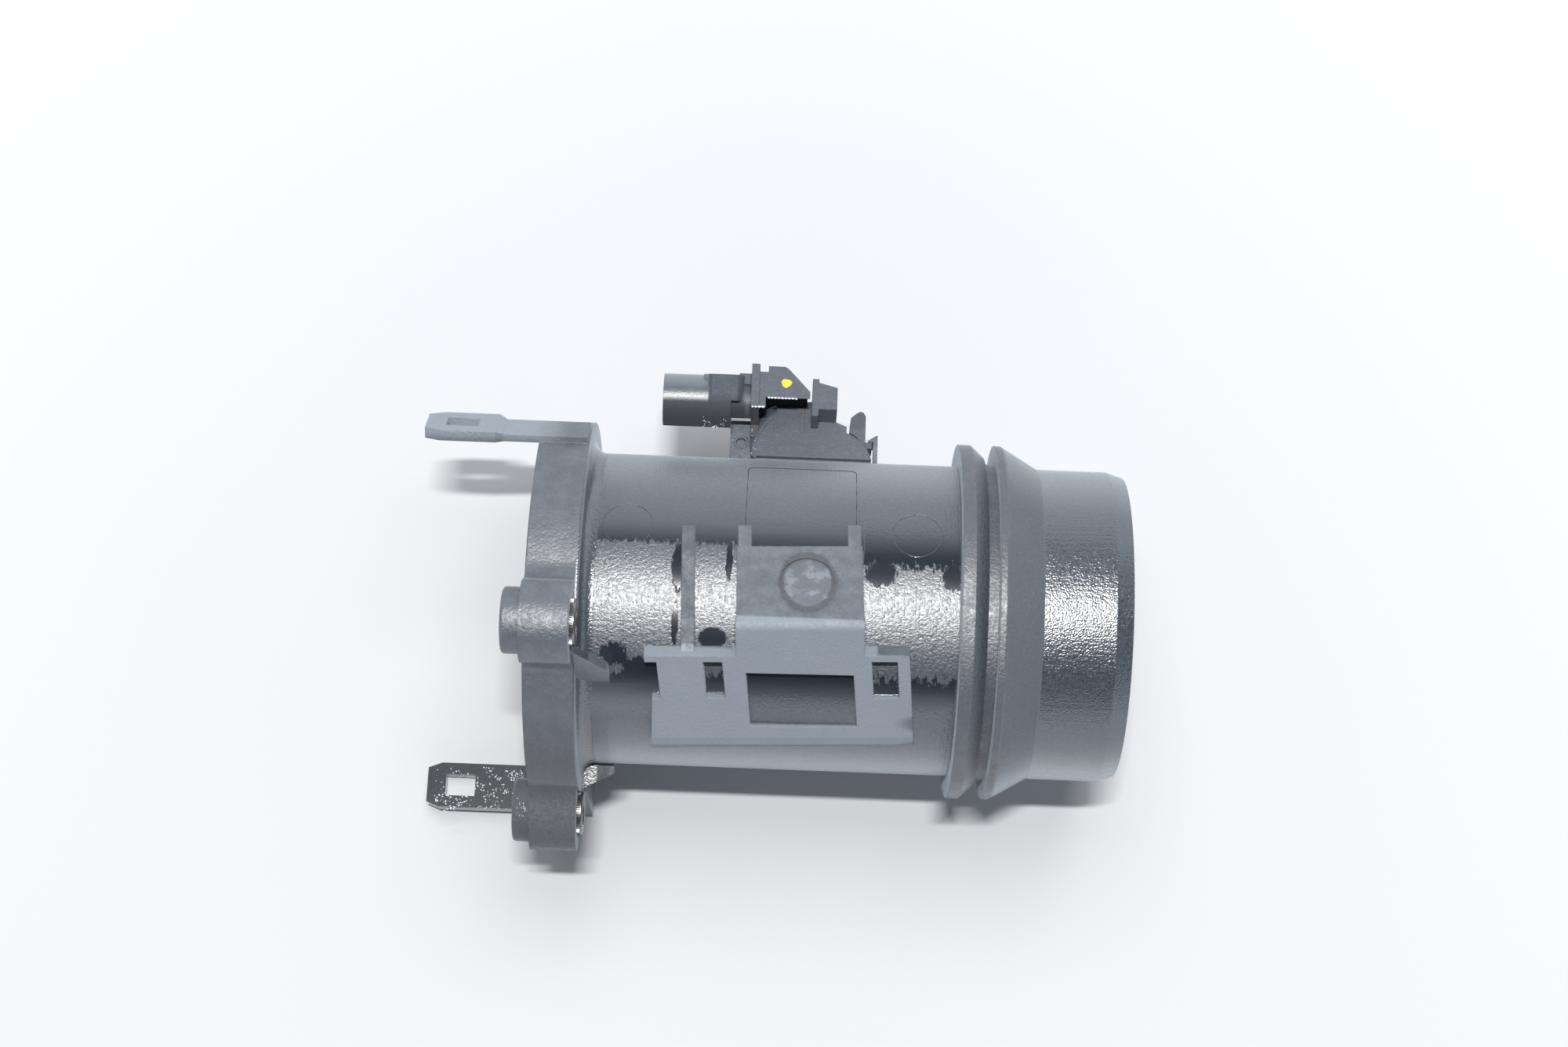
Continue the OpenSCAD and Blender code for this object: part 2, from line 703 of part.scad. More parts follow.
module pin_shape(i, extra) {
    half = pin_width / 2 + extra;
    z = pin_z(i);
    bend = pin_bend(i);
    block([pin_start, pin_y - half, z - half], [bend + half, pin_y + half, z + half]);
    block([bend - half, pin_y - half, board_face], [bend + half, pin_y + half, z + half]);
    block([bend - half, pin_foot, board_face], [bend + half, pin_y + half, 2 * half]);
}

module contact_pin(i) {
    color([0.83, 0.72, 0.42]) at_sensor() pin_shape(i, 0);
}

module pin_1() { contact_pin(0); }
module pin_2() { contact_pin(1); }
module pin_3() { contact_pin(2); }
module pin_4() { contact_pin(3); }

// Blade with its open bypass channel, board slot and recess for the cover.
board_back = -1.6;
stem_half = 6;
channel_floor = 1.4;
cover_thickness = 1.2;
module blade_solid() {
    top = seat_height - 7;
    half = blade_thickness / 2;
    block([-blade_half + half, blade_tip, -half], [blade_half - half, top + 2, half]);
    for (side = [-1, 1])
        translate([side * (blade_half - half), 0, 0]) post_y(half, blade_tip, top + 2);
}

module bypass_channel() {
    half = blade_thickness / 2;
    translate([0, 0, channel_floor]) linear_extrude(half)
        polygon([[-blade_half - 1, 9], [5.4, 9], [5.4, 23], [blade_half + 1, 23],
            [blade_half + 1, 28], [0.4, 28], [0.4, 14], [-blade_half - 1, 14]]);
    block([-7, 5.4, half - cover_thickness], [7, 31, half + 1]);
    block([0.8, 15, board_face - eps], [5, 22.4, channel_floor + 1]);
}

module board_slot() {
    block([-stem_half - 0.2, 8 - fit_gap, board_back - 0.2], [stem_half + 0.2, base_top + 1, 0.2]);
    for (side = [-1, 1])
        translate([side * 1.3, 0, -0.8]) post_y(0.32, blade_tip - 1, 9);
}

module sensor_housing() {
    color(black_plastic) at_sensor() difference() {
        union() {
            translate([0, 0, -drum_half]) linear_extrude(2 * drum_half) drum_outline(seat_height);
            translate([0, 0, seat_front + fit_gap])
                linear_extrude(drum_half - seat_front - fit_gap) drum_outline(skirt_low);
            block([keeper_right - 2.2, seat_height, -tongue_half],
                [keeper_right + 2, base_top, tongue_half]);
            block([9, ledge_low, 0.5], [15.6, ledge_top, 5.5]);
            post_y(neck_hole - neck_gap, seat_height - 7, seat_height + 1);
            blade_solid();
            hub();
            fin_block();
            socket();
        }
        neck_groove();
        drum_cavity();
        lid_recess();
        board_slot();
        bypass_channel();
        socket_cavity();
        for (i = [0:3]) pin_shape(i, 0.02);
    }
}

seal_section = 0.75;
seal_y = seat_height - 3.2;
module neck_groove() {
    difference() {
        post_y(neck_hole + 1, seal_y - 1, seal_y + 1);
        post_y(neck_hole - 2 * seal_section, seal_y - 2, seal_y + 2);
    }
}

module neck_seal() {
    color(soft_rubber) at_sensor() translate([0, seal_y, 0]) rotate([-90, 0, 0])
        rotate_extrude() translate([neck_hole - seal_section, 0]) circle(r = seal_section);
}

cavity_front = drum_half - 2.2;
lid_thickness = 2;
gasket_thickness = 0.6;
lid_inner = -drum_half + lid_thickness;
gasket_inner = lid_inner + gasket_thickness;
module drum_cavity() {
    translate([0, 0, -drum_half - 1]) linear_extrude(cavity_front + drum_half + 1)
        cavity_outline(drum_wall);
}

// Step in the drum's open side that the lid and its gasket lie in.
lid_step = 0.8;
module lid_recess() {
    translate([0, 0, -drum_half - 1]) linear_extrude(gasket_inner + drum_half + 1)
        cavity_outline(drum_wall - lid_step);
}

module drum_lid() {
    color([0.17, 0.18, 0.20]) at_sensor() translate([0, 0, -drum_half])
        linear_extrude(lid_thickness) cavity_outline(drum_wall - lid_step + fit_gap);
}

module lid_gasket() {
    color(soft_rubber) at_sensor() translate([0, 0, lid_inner])
        linear_extrude(gasket_thickness) difference() {
            cavity_outline(drum_wall - lid_step + fit_gap);
            cavity_outline(drum_wall + 0.4);
        }
}

// Circuit board: a head in the drum and a stem down the blade.
board_top = seat_height + 6.9;
module circuit_board() {
    color([0.10, 0.32, 0.20]) at_sensor() {
        block([-stem_half, 8, board_back], [stem_half, base_top + 0.6, board_face]);
        block([-8.8, base_top + 0.5, board_back], [1.5, board_top, board_face]);
    }
}

module control_chip() {
    color([0.05, 0.05, 0.06]) at_sensor()
        block([-6.8, base_top + 0.6, board_back - 1.5], [-0.8, board_top - 0.6, board_back]);
}

module board_capacitors() {
    color([0.62, 0.52, 0.38]) at_sensor()
        for (x = [-6.2, -4.6, -3, -1.4])
            block([x - 0.4, board_top - 3.4, board_face],
                [x + 0.4, board_top - 1.8, board_face + 0.8]);
}

module chip_carrier() {
    color([0.72, 0.72, 0.70]) at_sensor() difference() {
        block([0.8 + fit_gap, 15 + fit_gap, board_face], [5 - fit_gap, 22.4 - fit_gap, channel_floor]);
        block([1.7, 17, channel_floor - 0.3], [4.1, 20.4, channel_floor + 1]);
    }
}

module film_chip() {
    color([0.45, 0.40, 0.62]) at_sensor()
        block([1.8, 17.1, channel_floor - 0.3], [4, 20.3, channel_floor + 0.05]);
}

module bypass_cover() {
    half = blade_thickness / 2;
    color([0.17, 0.18, 0.20]) at_sensor()
        block([-7 + fit_gap, 5.4 + fit_gap, half - cover_thickness], [7 - fit_gap, 31 - fit_gap, half]);
}

// Glass bead on two leads, below the blade's tip in the open air stream.
module air_temp_probe() {
    color([0.55, 0.25, 0.12]) at_sensor() {
        translate([0, blade_tip - 2.4, -0.8]) sphere(r = 1.5);
        for (side = [-1, 1])
            translate([side * 1.3, 0, -0.8]) post_y(0.3, blade_tip - 2.4, 8);
    }
}

tube_housing();
bush_upper();
bush_lower();
flange_seal();
flow_grid();
grid_ring();
sensor_housing();
neck_seal();
drum_lid();
lid_gasket();
circuit_board();
control_chip();
board_capacitors();
chip_carrier();
film_chip();
bypass_cover();
air_temp_probe();
pin_1();
pin_2();
pin_3();
pin_4();
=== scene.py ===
import json
import math
import random

import bmesh
import bpy
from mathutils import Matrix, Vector


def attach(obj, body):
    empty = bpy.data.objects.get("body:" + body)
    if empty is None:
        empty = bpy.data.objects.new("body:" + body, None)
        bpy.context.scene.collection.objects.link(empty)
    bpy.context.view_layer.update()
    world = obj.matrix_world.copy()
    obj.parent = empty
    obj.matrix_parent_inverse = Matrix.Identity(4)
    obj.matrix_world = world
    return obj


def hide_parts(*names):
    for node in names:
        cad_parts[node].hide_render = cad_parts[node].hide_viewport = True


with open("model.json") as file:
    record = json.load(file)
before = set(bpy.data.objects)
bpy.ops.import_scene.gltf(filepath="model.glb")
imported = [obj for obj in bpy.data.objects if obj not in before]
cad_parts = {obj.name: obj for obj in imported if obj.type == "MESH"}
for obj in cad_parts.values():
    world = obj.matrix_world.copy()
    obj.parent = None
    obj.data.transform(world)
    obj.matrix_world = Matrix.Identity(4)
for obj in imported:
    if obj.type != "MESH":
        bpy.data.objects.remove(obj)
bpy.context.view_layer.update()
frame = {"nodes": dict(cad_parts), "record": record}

nodes = frame["nodes"]

MM = 0.001
DEG = math.pi / 180

# Places taken over from the part, in millimetres and degrees
TUBE_R = 40.0
FLOOR_Z = -47.8
BOLT_R = 52.8
LOBE_1_CLOCK = 2.2
LOBE_2_CLOCK = 86.0
BOSS_HEIGHT = 4.6
BUSH_LENGTH = 17.9
BUSH_R = 6.0
BUSH_BORE_R = 3.3
KNURL_DEPTH = 0.25
SENSOR_X = 68.8
SENSOR_DROOP = 20.0
DRUM_CENTRE = (0.0, 38.8)
DRUM_R = 16.0
DRUM_FACE = 12.2
HUB_FACE = 25.0
KEEPER_FACE = 9.0


# Shader help


class Finish:
    """One material: a Principled surface and the nodes that feed it."""

    def __init__(self, name):
        self.material = bpy.data.materials.new(name)
        self.material.use_nodes = True
        self.tree = self.material.node_tree
        self.tree.nodes.clear()
        self.surface = self.tree.nodes.new("ShaderNodeBsdfPrincipled")
        output = self.tree.nodes.new("ShaderNodeOutputMaterial")
        self.tree.links.new(self.surface.outputs[0], output.inputs[0])
        place = self.tree.nodes.new("ShaderNodeTexCoord").outputs["Object"]
        self.mm = self.vector("SCALE", place, scale=1 / MM)
        split = self.tree.nodes.new("ShaderNodeSeparateXYZ")
        self.tree.links.new(self.mm, split.inputs[0])
        self.x, self.y, self.z = split.outputs[:3]

    def put(self, socket, value):
        """Sets a socket to a value, or links it."""
        if isinstance(value, bpy.types.NodeSocket):
            self.tree.links.new(value, socket)
        elif isinstance(value, (tuple, list)) and len(value) == 3 and socket.type == "RGBA":
            socket.default_value = (*value, 1.0)
        else:
            socket.default_value = value

    def math(self, operation, a, b=0.0, c=0.0):
        node = self.tree.nodes.new("ShaderNodeMath")
        node.operation = operation
        for socket, value in zip(node.inputs, (a, b, c)):
            self.put(socket, value)
        return node.outputs[0]

    def vector(self, operation, a, b=(0, 0, 0), scale=1.0):
        node = self.tree.nodes.new("ShaderNodeVectorMath")
        node.operation = operation
        self.put(node.inputs[0], a)
        if operation == "SCALE":
            self.put(node.inputs["Scale"], scale)
        elif operation != "LENGTH":
            self.put(node.inputs[1], b)
        return node.outputs["Value"] if operation == "LENGTH" else node.outputs[0]

    def distance(self, place, centre):
        return self.vector("LENGTH", self.vector("SUBTRACT", place, centre))

    def join(self, x, y, z=0.0):
        node = self.tree.nodes.new("ShaderNodeCombineXYZ")
        for socket, value in zip(node.inputs, (x, y, z)):
            self.put(socket, value)
        return node.outputs[0]

    def step(self, value, low, high, out_low=0.0, out_high=1.0):
        """Smooth step of a value from low to high."""
        node = self.tree.nodes.new("ShaderNodeMapRange")
        node.interpolation_type = "SMOOTHSTEP"
        for name, item in (("Value", value), ("From Min", low), ("From Max", high),
                           ("To Min", out_low), ("To Max", out_high)):
            self.put(node.inputs[name], item)
        return node.outputs[0]

    def band(self, value, low, high, edge):
        """1 between low and high, with soft edges."""
        rise = self.step(value, low - edge, low + edge)
        fall = self.step(value, high - edge, high + edge, 1.0, 0.0)
        return self.math("MULTIPLY", rise, fall)

    def noise(self, place, scale, detail, roughness=0.5, stretch=None):
        node = self.tree.nodes.new("ShaderNodeTexNoise")
        if stretch:
            place = self.vector("MULTIPLY", place, stretch)
        self.put(node.inputs["Vector"], place)
        self.put(node.inputs["Scale"], scale)
        self.put(node.inputs["Detail"], detail)
        self.put(node.inputs["Roughness"], roughness)
        return node.outputs["Fac"]

    def cells(self, place, scale):
        """Distance to the nearest of many scattered points."""
        node = self.tree.nodes.new("ShaderNodeTexVoronoi")
        self.put(node.inputs["Vector"], place)
        self.put(node.inputs["Scale"], scale)
        return node.outputs["Distance"]

    def blend(self, factor, a, b):
        """Colour blend from a to b."""
        node = self.tree.nodes.new("ShaderNodeMix")
        node.data_type = "RGBA"
        self.put(node.inputs[0], factor)
        self.put(node.inputs[6], a)
        self.put(node.inputs[7], b)
        return node.outputs[2]

    def between(self, factor, a, b):
        """Number blend from a to b."""
        node = self.tree.nodes.new("ShaderNodeMix")
        self.put(node.inputs[0], factor)
        self.put(node.inputs[2], a)
        self.put(node.inputs[3], b)
        return node.outputs[0]

    def fold(self, operation, values):
        result = values[0]
        for value in values[1:]:
            result = self.math(operation, result, value)
        return result

    def product(self, *values):
        return self.fold("MULTIPLY", values)

    def largest(self, *values):
        return self.fold("MAXIMUM", values)

    def rest(self, mask):
        """What a mask leaves of 1."""
        return self.math("SUBTRACT", 1.0, mask)

    def scaled(self, value, factor, base):
        """A value times a factor, on top of a base."""
        return self.math("MULTIPLY_ADD", value, factor, base)

    def bump(self, height, distance, strength=1.0, normal=None):
        node = self.tree.nodes.new("ShaderNodeBump")
        self.put(node.inputs["Height"], height)
        self.put(node.inputs["Strength"], strength)
        self.put(node.inputs["Distance"], distance * MM)
        if normal is not None:
            self.put(node.inputs["Normal"], normal)
        return node.outputs[0]

    def soft_edges(self, radius):
        node = self.tree.nodes.new("ShaderNodeBevel")
        node.samples = 4
        self.put(node.inputs["Radius"], radius * MM)
        return node.outputs[0]

    def set(self, **values):
        for name, value in values.items():
            self.put(self.surface.inputs[name.replace("_", " ")], value)
        return self.material


# Plastic of the tube housing

# Stretches along the tube: from, to, softness of both ends
ROOT = (12.3, 16.2, 0.25)
WALL = (16.2, 106.0, 0.2)
COLLAR = (106.0, 117.4, 0.3)
CONE = (117.6, 126.4, 0.3)
BRIDGE = (50.5, 86.0, 0.5)
WINGS = (27.0, 98.0, 0.5)
RIBS = (34.0, 50.4, 0.1)
PAD = (50.6, 86.0, 0.1)
KEEPER = (46.0, 53.6, 0.2)

# Limits of zones: none of the zone at the first value, all of it at the second
SPIGOT_X = (126.0, 127.0)
RAISED_R = (40.2, 40.4)
BRIDGE_CLOCK = (-1.6, -0.8)
WINGS_CLOCK = (9.0, 10.0)
ABOVE_WINGS_CLOCK = (9.0, 8.0)
UPPER_TAB_X = (10.0, -4.0)
UPPER_TAB_Y = (40.5, 43.5)
KEEPER_Y = (41.0, 42.0)
LOWER_TAB_X = (-4.5, -5.0)
LOWER_TAB_Y = (-43.0, -44.0)
LOWER_TAB_Z = (-30.0, -35.0)
LOW_FLANGE_X = (22.0, 18.0)
LOW_FLANGE_Y = (-20.0, -40.0)

# Painted reflection that lightens the tube towards its sides, by the clock angle's distance from the
# crest; the lower side is lightened more
CREST_CLOCK = -2.0
SIDE_REFLECTION_CLOCK = (40.0, 74.0)
LOW_SIDE_CLOCK = (50.0, 76.0)

# Round stain in the bracket's pad, with limits by the distance from its ring or its centre
STAIN_CENTRE = (68.4, 9.6, 0)
STAIN_R = 6.5
RING_EDGE = (1.0, 0.2)
SMEAR_R = (9.0, 6.4)
RECESS_R = (6.6, 6.2)

# Damp marks: centre along the tube, clock angle, half length, half angle, raggedness
DAMP_MARKS = [
    (36.7, -18.0, 1.7, 9.5, 0.6),
    (36.3, 2.5, 0.8, 8.0, 0.6),
    (49.0, -21.0, 0.9, 7.5, 0.7),
    (45.6, 7.6, 3.7, 4.2, 0.25),
    (21.5, 14.5, 3.8, 4.5, 0.7),
    (28.5, 19.5, 5.5, 5.0, 0.7),
    (104.0, -17.0, 2.6, 5.0, 0.6),
    (86.5, -17.5, 4.0, 4.5, 0.7),
]
# Painted shade bands either side of the highlight, dark and smooth: from, to, clock of the ragged edge,
# clock where it has faded, raggedness in degrees
DAMP_SHADE_BANDS = [
    (14.0, 51.0, -26.5, -44.0, 5.0),
    (51.0, 82.0, -26.0, -43.0, 4.0),
    (82.0, 108.0, -20.5, -42.0, 9.0),
    (14.0, 51.0, 21.0, 43.0, 8.0),
    (82.0, 108.0, 20.0, 40.0, 12.0),
    (52.0, 84.0, 17.0, 36.0, 3.0),
]
MARK_REACH = 2.4
MARK_EDGE = 0.15
BAND_EDGE = 0.4
BAND_END = 0.3
FADE_SHARE = 0.6

# Tones of the tube's plastic, dark and pale; the pale tones also paint in the sheen of the grained faces
DEEP = ((0.016, 0.024, 0.036), (0.028, 0.038, 0.053))
PALE_AND_SHEEN = ((0.135, 0.162, 0.197), (0.180, 0.208, 0.243))
DULL = ((0.040, 0.052, 0.067), (0.074, 0.090, 0.110))
DARK = ((0.024, 0.033, 0.046), (0.050, 0.062, 0.079))
BLACK = (0.012, 0.017, 0.025)
KEEPER_TONE = (0.038, 0.056, 0.082)
# Painted reflection: paler tones towards the tube's sides, stronger on the lower side
SIDE_REFLECTION_TONE = (0.150, 0.170, 0.195)
LOW_SIDE_TONE = (0.30, 0.335, 0.375)
DUST_TONE = (0.17, 0.18, 0.195)
SKY_SHEEN = (0.74, 0.88, 1.0)


def tube_frame(f):
    """Clock angle in degrees and distance from the tube's axis in mm."""
    angle = f.math("ARCTAN2", f.math("MULTIPLY", f.y, -1.0), f.z)
    clock = f.math("DIVIDE", angle, DEG)
    square = f.math("ADD", f.math("MULTIPLY", f.y, f.y), f.math("MULTIPLY", f.z, f.z))
    return clock, f.math("SQRT", square)


def unrolled(f, clock):
    """Place on the tube's outside, laid flat in mm."""
    return f.join(f.x, f.math("MULTIPLY", clock, TUBE_R * DEG))


def damp_mask(f, clock):
    """Where the tube is moist and smooth in marks, and painted shade bands either side of the highlight,
    all with ragged edges.
    """
    ragged = f.noise(unrolled(f, clock), scale=0.55, detail=5.0, roughness=0.68, stretch=(1.6, 0.7, 1.0))
    masks = []
    for x, angle, half_x, half_angle, jag in DAMP_MARKS:
        away = f.vector("SUBTRACT", f.join(f.x, clock), (x, angle, 0))
        away = f.vector("MULTIPLY", away, (1 / half_x, 1 / half_angle, 0))
        reach = f.scaled(ragged, MARK_REACH * jag, f.vector("LENGTH", away))
        outside = 1.0 + MARK_REACH / 2 * jag
        masks.append(f.step(reach, outside, outside - MARK_EDGE))
    for low, high, edge, faded, jag in DAMP_SHADE_BANDS:
        outward = 1.0 if faded > edge else -1.0
        depth = f.math("MULTIPLY", f.math("SUBTRACT", clock, edge), outward)
        depth = f.math("ADD", depth, f.scaled(ragged, 2 * jag, -jag))
        inside = f.step(depth, -BAND_EDGE, BAND_EDGE)
        fade = f.step(clock, faded, faded - FADE_SHARE * (faded - edge))
        masks.append(f.product(inside, fade, f.band(f.x, low, high, BAND_END)))
    return f.largest(*masks)


def tube_zones(f, clock, radius):
    """Masks of the tube housing's surfaces, by name."""
    raised = f.step(radius, *RAISED_R)
    above_wings = f.step(clock, *ABOVE_WINGS_CLOCK)
    bridge = f.product(f.band(f.x, *BRIDGE), f.step(clock, *BRIDGE_CLOCK))
    wings = f.product(f.band(f.x, *WINGS), f.step(clock, *WINGS_CLOCK))
    on = {
        "root": f.band(f.x, *ROOT),
        "wall": f.product(f.band(f.x, *WALL), f.rest(raised)),
        "collar": f.band(f.x, *COLLAR),
        "cone": f.band(f.x, *CONE),
        "spigot": f.step(f.x, *SPIGOT_X),
        "plate": f.product(f.largest(bridge, wings), raised),
        "rib": f.product(f.band(f.x, *RIBS), above_wings, raised),
        "pad": f.product(f.band(f.x, *PAD), above_wings, raised),
        "upper_tab": f.product(f.step(f.x, *UPPER_TAB_X), f.step(f.y, *UPPER_TAB_Y)),
        "lower_tab": f.product(f.step(f.x, *LOWER_TAB_X), f.step(f.y, *LOWER_TAB_Y),
                               f.step(f.z, *LOWER_TAB_Z)),
        "low_flange": f.product(f.step(f.x, *LOW_FLANGE_X), f.step(f.y, *LOW_FLANGE_Y)),
        "keeper": f.product(f.band(f.x, *KEEPER), f.step(f.y, *KEEPER_Y)),
    }
    on["smooth"] = f.largest(on["wall"], on["spigot"], on["cone"])
    # Moist marks and painted shade bands beside the highlight, both smooth
    on["damp"] = f.product(damp_mask(f, clock), on["wall"])
    on["wet"] = f.largest(on["damp"], on["lower_tab"])
    return on


def pad_stain(f, on, smudge):
    """Dark ring and smudge round the recess of the pad, and the paler floor of the recess."""
    away = f.distance(f.join(f.x, f.y), STAIN_CENTRE)
    ring = f.step(f.math("ABSOLUTE", f.math("SUBTRACT", away, STAIN_R)), *RING_EDGE)
    smear = f.product(f.step(away, *SMEAR_R), f.step(smudge, 0.8, 0.4), 0.6)
    stain = f.math("MINIMUM", f.product(f.math("ADD", ring, smear), on["pad"]), 1.0)
    floor = f.product(on["pad"], f.step(away, *RECESS_R), 0.6)
    return stain, floor


def tube_colour(f, on, clock, smudge):
    """Colour of the tube housing: tones by zone, dust specks and moist marks, with painted light: sheen
    on the grained faces, reflection towards the sides, shade at the root and beside the highlight.
    """
    cloud = f.noise(f.mm, scale=0.09, detail=4.0, roughness=0.6)
    speckle = f.step(f.noise(f.mm, scale=1.7, detail=4.0, roughness=0.7), 0.45, 0.85)
    from_crest = f.math("ABSOLUTE", f.math("SUBTRACT", clock, CREST_CLOCK))
    side_reflection = f.product(f.step(from_crest, *SIDE_REFLECTION_CLOCK), on["smooth"])
    low_side = f.product(f.step(clock, *LOW_SIDE_CLOCK), on["smooth"])
    stain, recess_floor = pad_stain(f, on, smudge)
    pale = f.blend(cloud, *PALE_AND_SHEEN)
    dark = f.blend(smudge, *DARK)
    coats = [
        # Painted sheen: the grained plate, recess floor and upper tab get the pale tone
        (on["plate"], pale),
        (recess_floor, pale),
        (f.product(stain, 0.95), BLACK),
        (on["rib"], dark),
        (on["upper_tab"], pale),
        (f.product(on["low_flange"], 0.75), BLACK),
        (f.product(on["keeper"], 0.9), KEEPER_TONE),
        # Painted shade: the root fillet where the flange meets the tube goes darker, and the collar with
        # it
        (f.product(f.largest(on["root"], on["collar"]), 0.6), BLACK),
        (on["smooth"], f.blend(cloud, *DEEP)),
        # Painted reflection lightens the smooth wall towards both sides, and more on the lower side
        (f.product(side_reflection, 0.8), SIDE_REFLECTION_TONE),
        (f.product(low_side, 0.7), LOW_SIDE_TONE),
        (f.product(speckle, f.rest(on["spigot"]), 0.25), DUST_TONE),
        # Painted shade: the bands beside the highlight go nearly black, as do the moist marks and the
        # lower tab
        (f.product(on["wet"], 0.92), BLACK),
    ]
    colour = f.blend(on["pad"], dark, f.blend(smudge, *DULL))
    for mask, tone in coats:
        colour = f.blend(mask, colour, tone)
    return colour


def tube_roughness(f, on, smudge, grain):
    """Roughness of the tube housing: levels by zone, changed by smudges and grain."""
    bracket = f.largest(on["pad"], on["plate"], on["rib"], on["keeper"])
    rough = 0.55
    for mask, level in ((on["smooth"], 0.41), (on["spigot"], 0.27), (on["cone"], 0.6),
                        (bracket, 0.75)):
        rough = f.between(mask, rough, level)
    smudged = f.math("SUBTRACT", smudge, f.math("MINIMUM", smudge, on["smooth"]))
    rough = f.scaled(smudged, -0.12, rough)
    rough = f.between(on["low_flange"], rough, 0.8)
    rough = f.scaled(grain, 0.30, f.math("SUBTRACT", rough, 0.10))
    rough = f.between(on["damp"], rough, 0.17)
    return f.between(f.largest(on["lower_tab"], f.product(on["root"], 0.7)), rough, 0.2)


def tube_relief(f, on, clock, grain):
    """Height of the fine relief: grain and specks, hoops on the wall, streaks on the spigot."""
    flat = unrolled(f, clock)
    fine = f.noise(f.mm, scale=2.4, detail=0.0)
    hoops = f.noise(flat, scale=1.0, detail=1.0, stretch=(1.5, 0.05, 1.0))
    streaks = f.noise(flat, scale=1.0, detail=1.0, stretch=(0.05, 1.3, 1.0))
    specks = f.step(f.cells(f.mm, scale=0.9), 0.22, 0.10)
    relief = f.scaled(fine, 0.35, grain)
    relief = f.between(on["wall"], relief, f.scaled(hoops, 0.8, relief))
    relief = f.between(on["spigot"], relief, f.scaled(streaks, 0.6, fine))
    relief = f.math("ADD", relief, f.product(specks, f.rest(on["spigot"]), 0.25))
    return f.product(relief, f.rest(f.product(on["wet"], 0.92)))


def tube_plastic():
    """Black moulded plastic of the tube: grained, scuffed pale, with smooth moist marks and with painted
    sheen, reflection and shade in its colour.
    """
    f = Finish("tube_plastic")
    clock, radius = tube_frame(f)
    on = tube_zones(f, clock, radius)
    smudge = f.step(f.noise(f.mm, scale=0.22, detail=5.0, roughness=0.68), 0.34, 0.74)
    grain = f.noise(f.mm, scale=1.2, detail=1.0, roughness=0.45)
    relief = tube_relief(f, on, clock, grain)
    return f.set(Base_Color=tube_colour(f, on, clock, smudge),
                 Roughness=tube_roughness(f, on, smudge, grain),
                 Normal=f.bump(relief, 0.11, normal=f.soft_edges(0.35)), IOR=2.5,
                 Sheen_Weight=0.25, Sheen_Roughness=0.3, Sheen_Tint=SKY_SHEEN)


# Plastic of the sensor: stretches along X, and limits across the sensor's own y (out) and z (up)

BARREL = (28.0, 41.4, 0.3)
RAMP = (41.4, 50.6, 0.2)
SOCKET = (28.0, 51.0, 0.4)
# Painted shade: under the socket barrel, and on the strip below the hub that lies in its shadow
HUB_SHADOW_X = (52.0, 54.7, 0.3)
SOCKET_SHADE_OUT = (51.2, 48.2)
HUB_SHADOW_OUT = (44.0, 45.0)
HUB_SHADOW_UP = (24.0, 22.0)
BLOCK_X = (75.0, 75.2)
BLOCK_OUT = (49.4, 49.8)
FINS_X = (84.6, 84.8)
SENSOR_TONES = ((0.020, 0.028, 0.041), (0.048, 0.062, 0.084))
SENSOR_SCUFF = (0.125, 0.150, 0.180)
SENSOR_SHADE = (0.008, 0.012, 0.018)


def sensor_plastic():
    """Black plastic of the sensor, with a glossier socket barrel; painted shade darkens the barrel's
    underside and the strip below the hub, and the fins are darker.
    """
    f = Finish("sensor_plastic")
    c, s = math.cos(SENSOR_DROOP * DEG), math.sin(SENSOR_DROOP * DEG)
    out = f.math("ADD", f.math("MULTIPLY", f.y, c), f.math("MULTIPLY", f.z, -s))
    up = f.math("ADD", f.math("MULTIPLY", f.y, s), f.math("MULTIPLY", f.z, c))
    on_barrel = f.band(f.x, *BARREL)
    under = f.product(f.band(f.x, *SOCKET), f.step(out, *SOCKET_SHADE_OUT))
    hub_shadow = f.product(f.band(f.x, *HUB_SHADOW_X), f.step(out, *HUB_SHADOW_OUT), f.step(up, *HUB_SHADOW_UP))
    on_block = f.product(f.step(f.x, *BLOCK_X), f.step(out, *BLOCK_OUT))
    on_fins = f.largest(on_block, f.step(f.x, *FINS_X))
    grain = f.noise(f.mm, scale=2.0, detail=1.0)
    cloud = f.noise(f.mm, scale=0.3, detail=4.0, roughness=0.65)
    scuff = f.step(f.noise(f.mm, scale=1.1, detail=5.0, roughness=0.7), 0.50, 0.76)
    colour = f.blend(cloud, *SENSOR_TONES)
    colour = f.blend(f.product(scuff, 0.4), colour, SENSOR_SCUFF)
    # Painted shade under the socket barrel and in the hub's shadow; the fins and block darker too
    shade = f.largest(under, hub_shadow, f.product(on_fins, 0.6))
    colour = f.blend(f.product(shade, 0.88), colour, SENSOR_SHADE)
    rough = f.between(on_barrel, 0.60, 0.36)
    rough = f.between(f.largest(f.band(f.x, *RAMP), under), rough, 0.8)
    rough = f.scaled(grain, 0.2, f.math("SUBTRACT", rough, 0.1))
    normal = f.bump(grain, 0.04, normal=f.soft_edges(0.25))
    gloss = f.product(on_barrel, f.rest(under), 0.75)
    return f.set(Base_Color=colour, Roughness=rough, Normal=normal, IOR=1.95, Coat_Weight=gloss,
                 Coat_Roughness=0.4, Coat_IOR=2.6, Coat_Normal=normal,
                 Sheen_Weight=0.1, Sheen_Roughness=0.5, Sheen_Tint=SKY_SHEEN)


# Other finishes


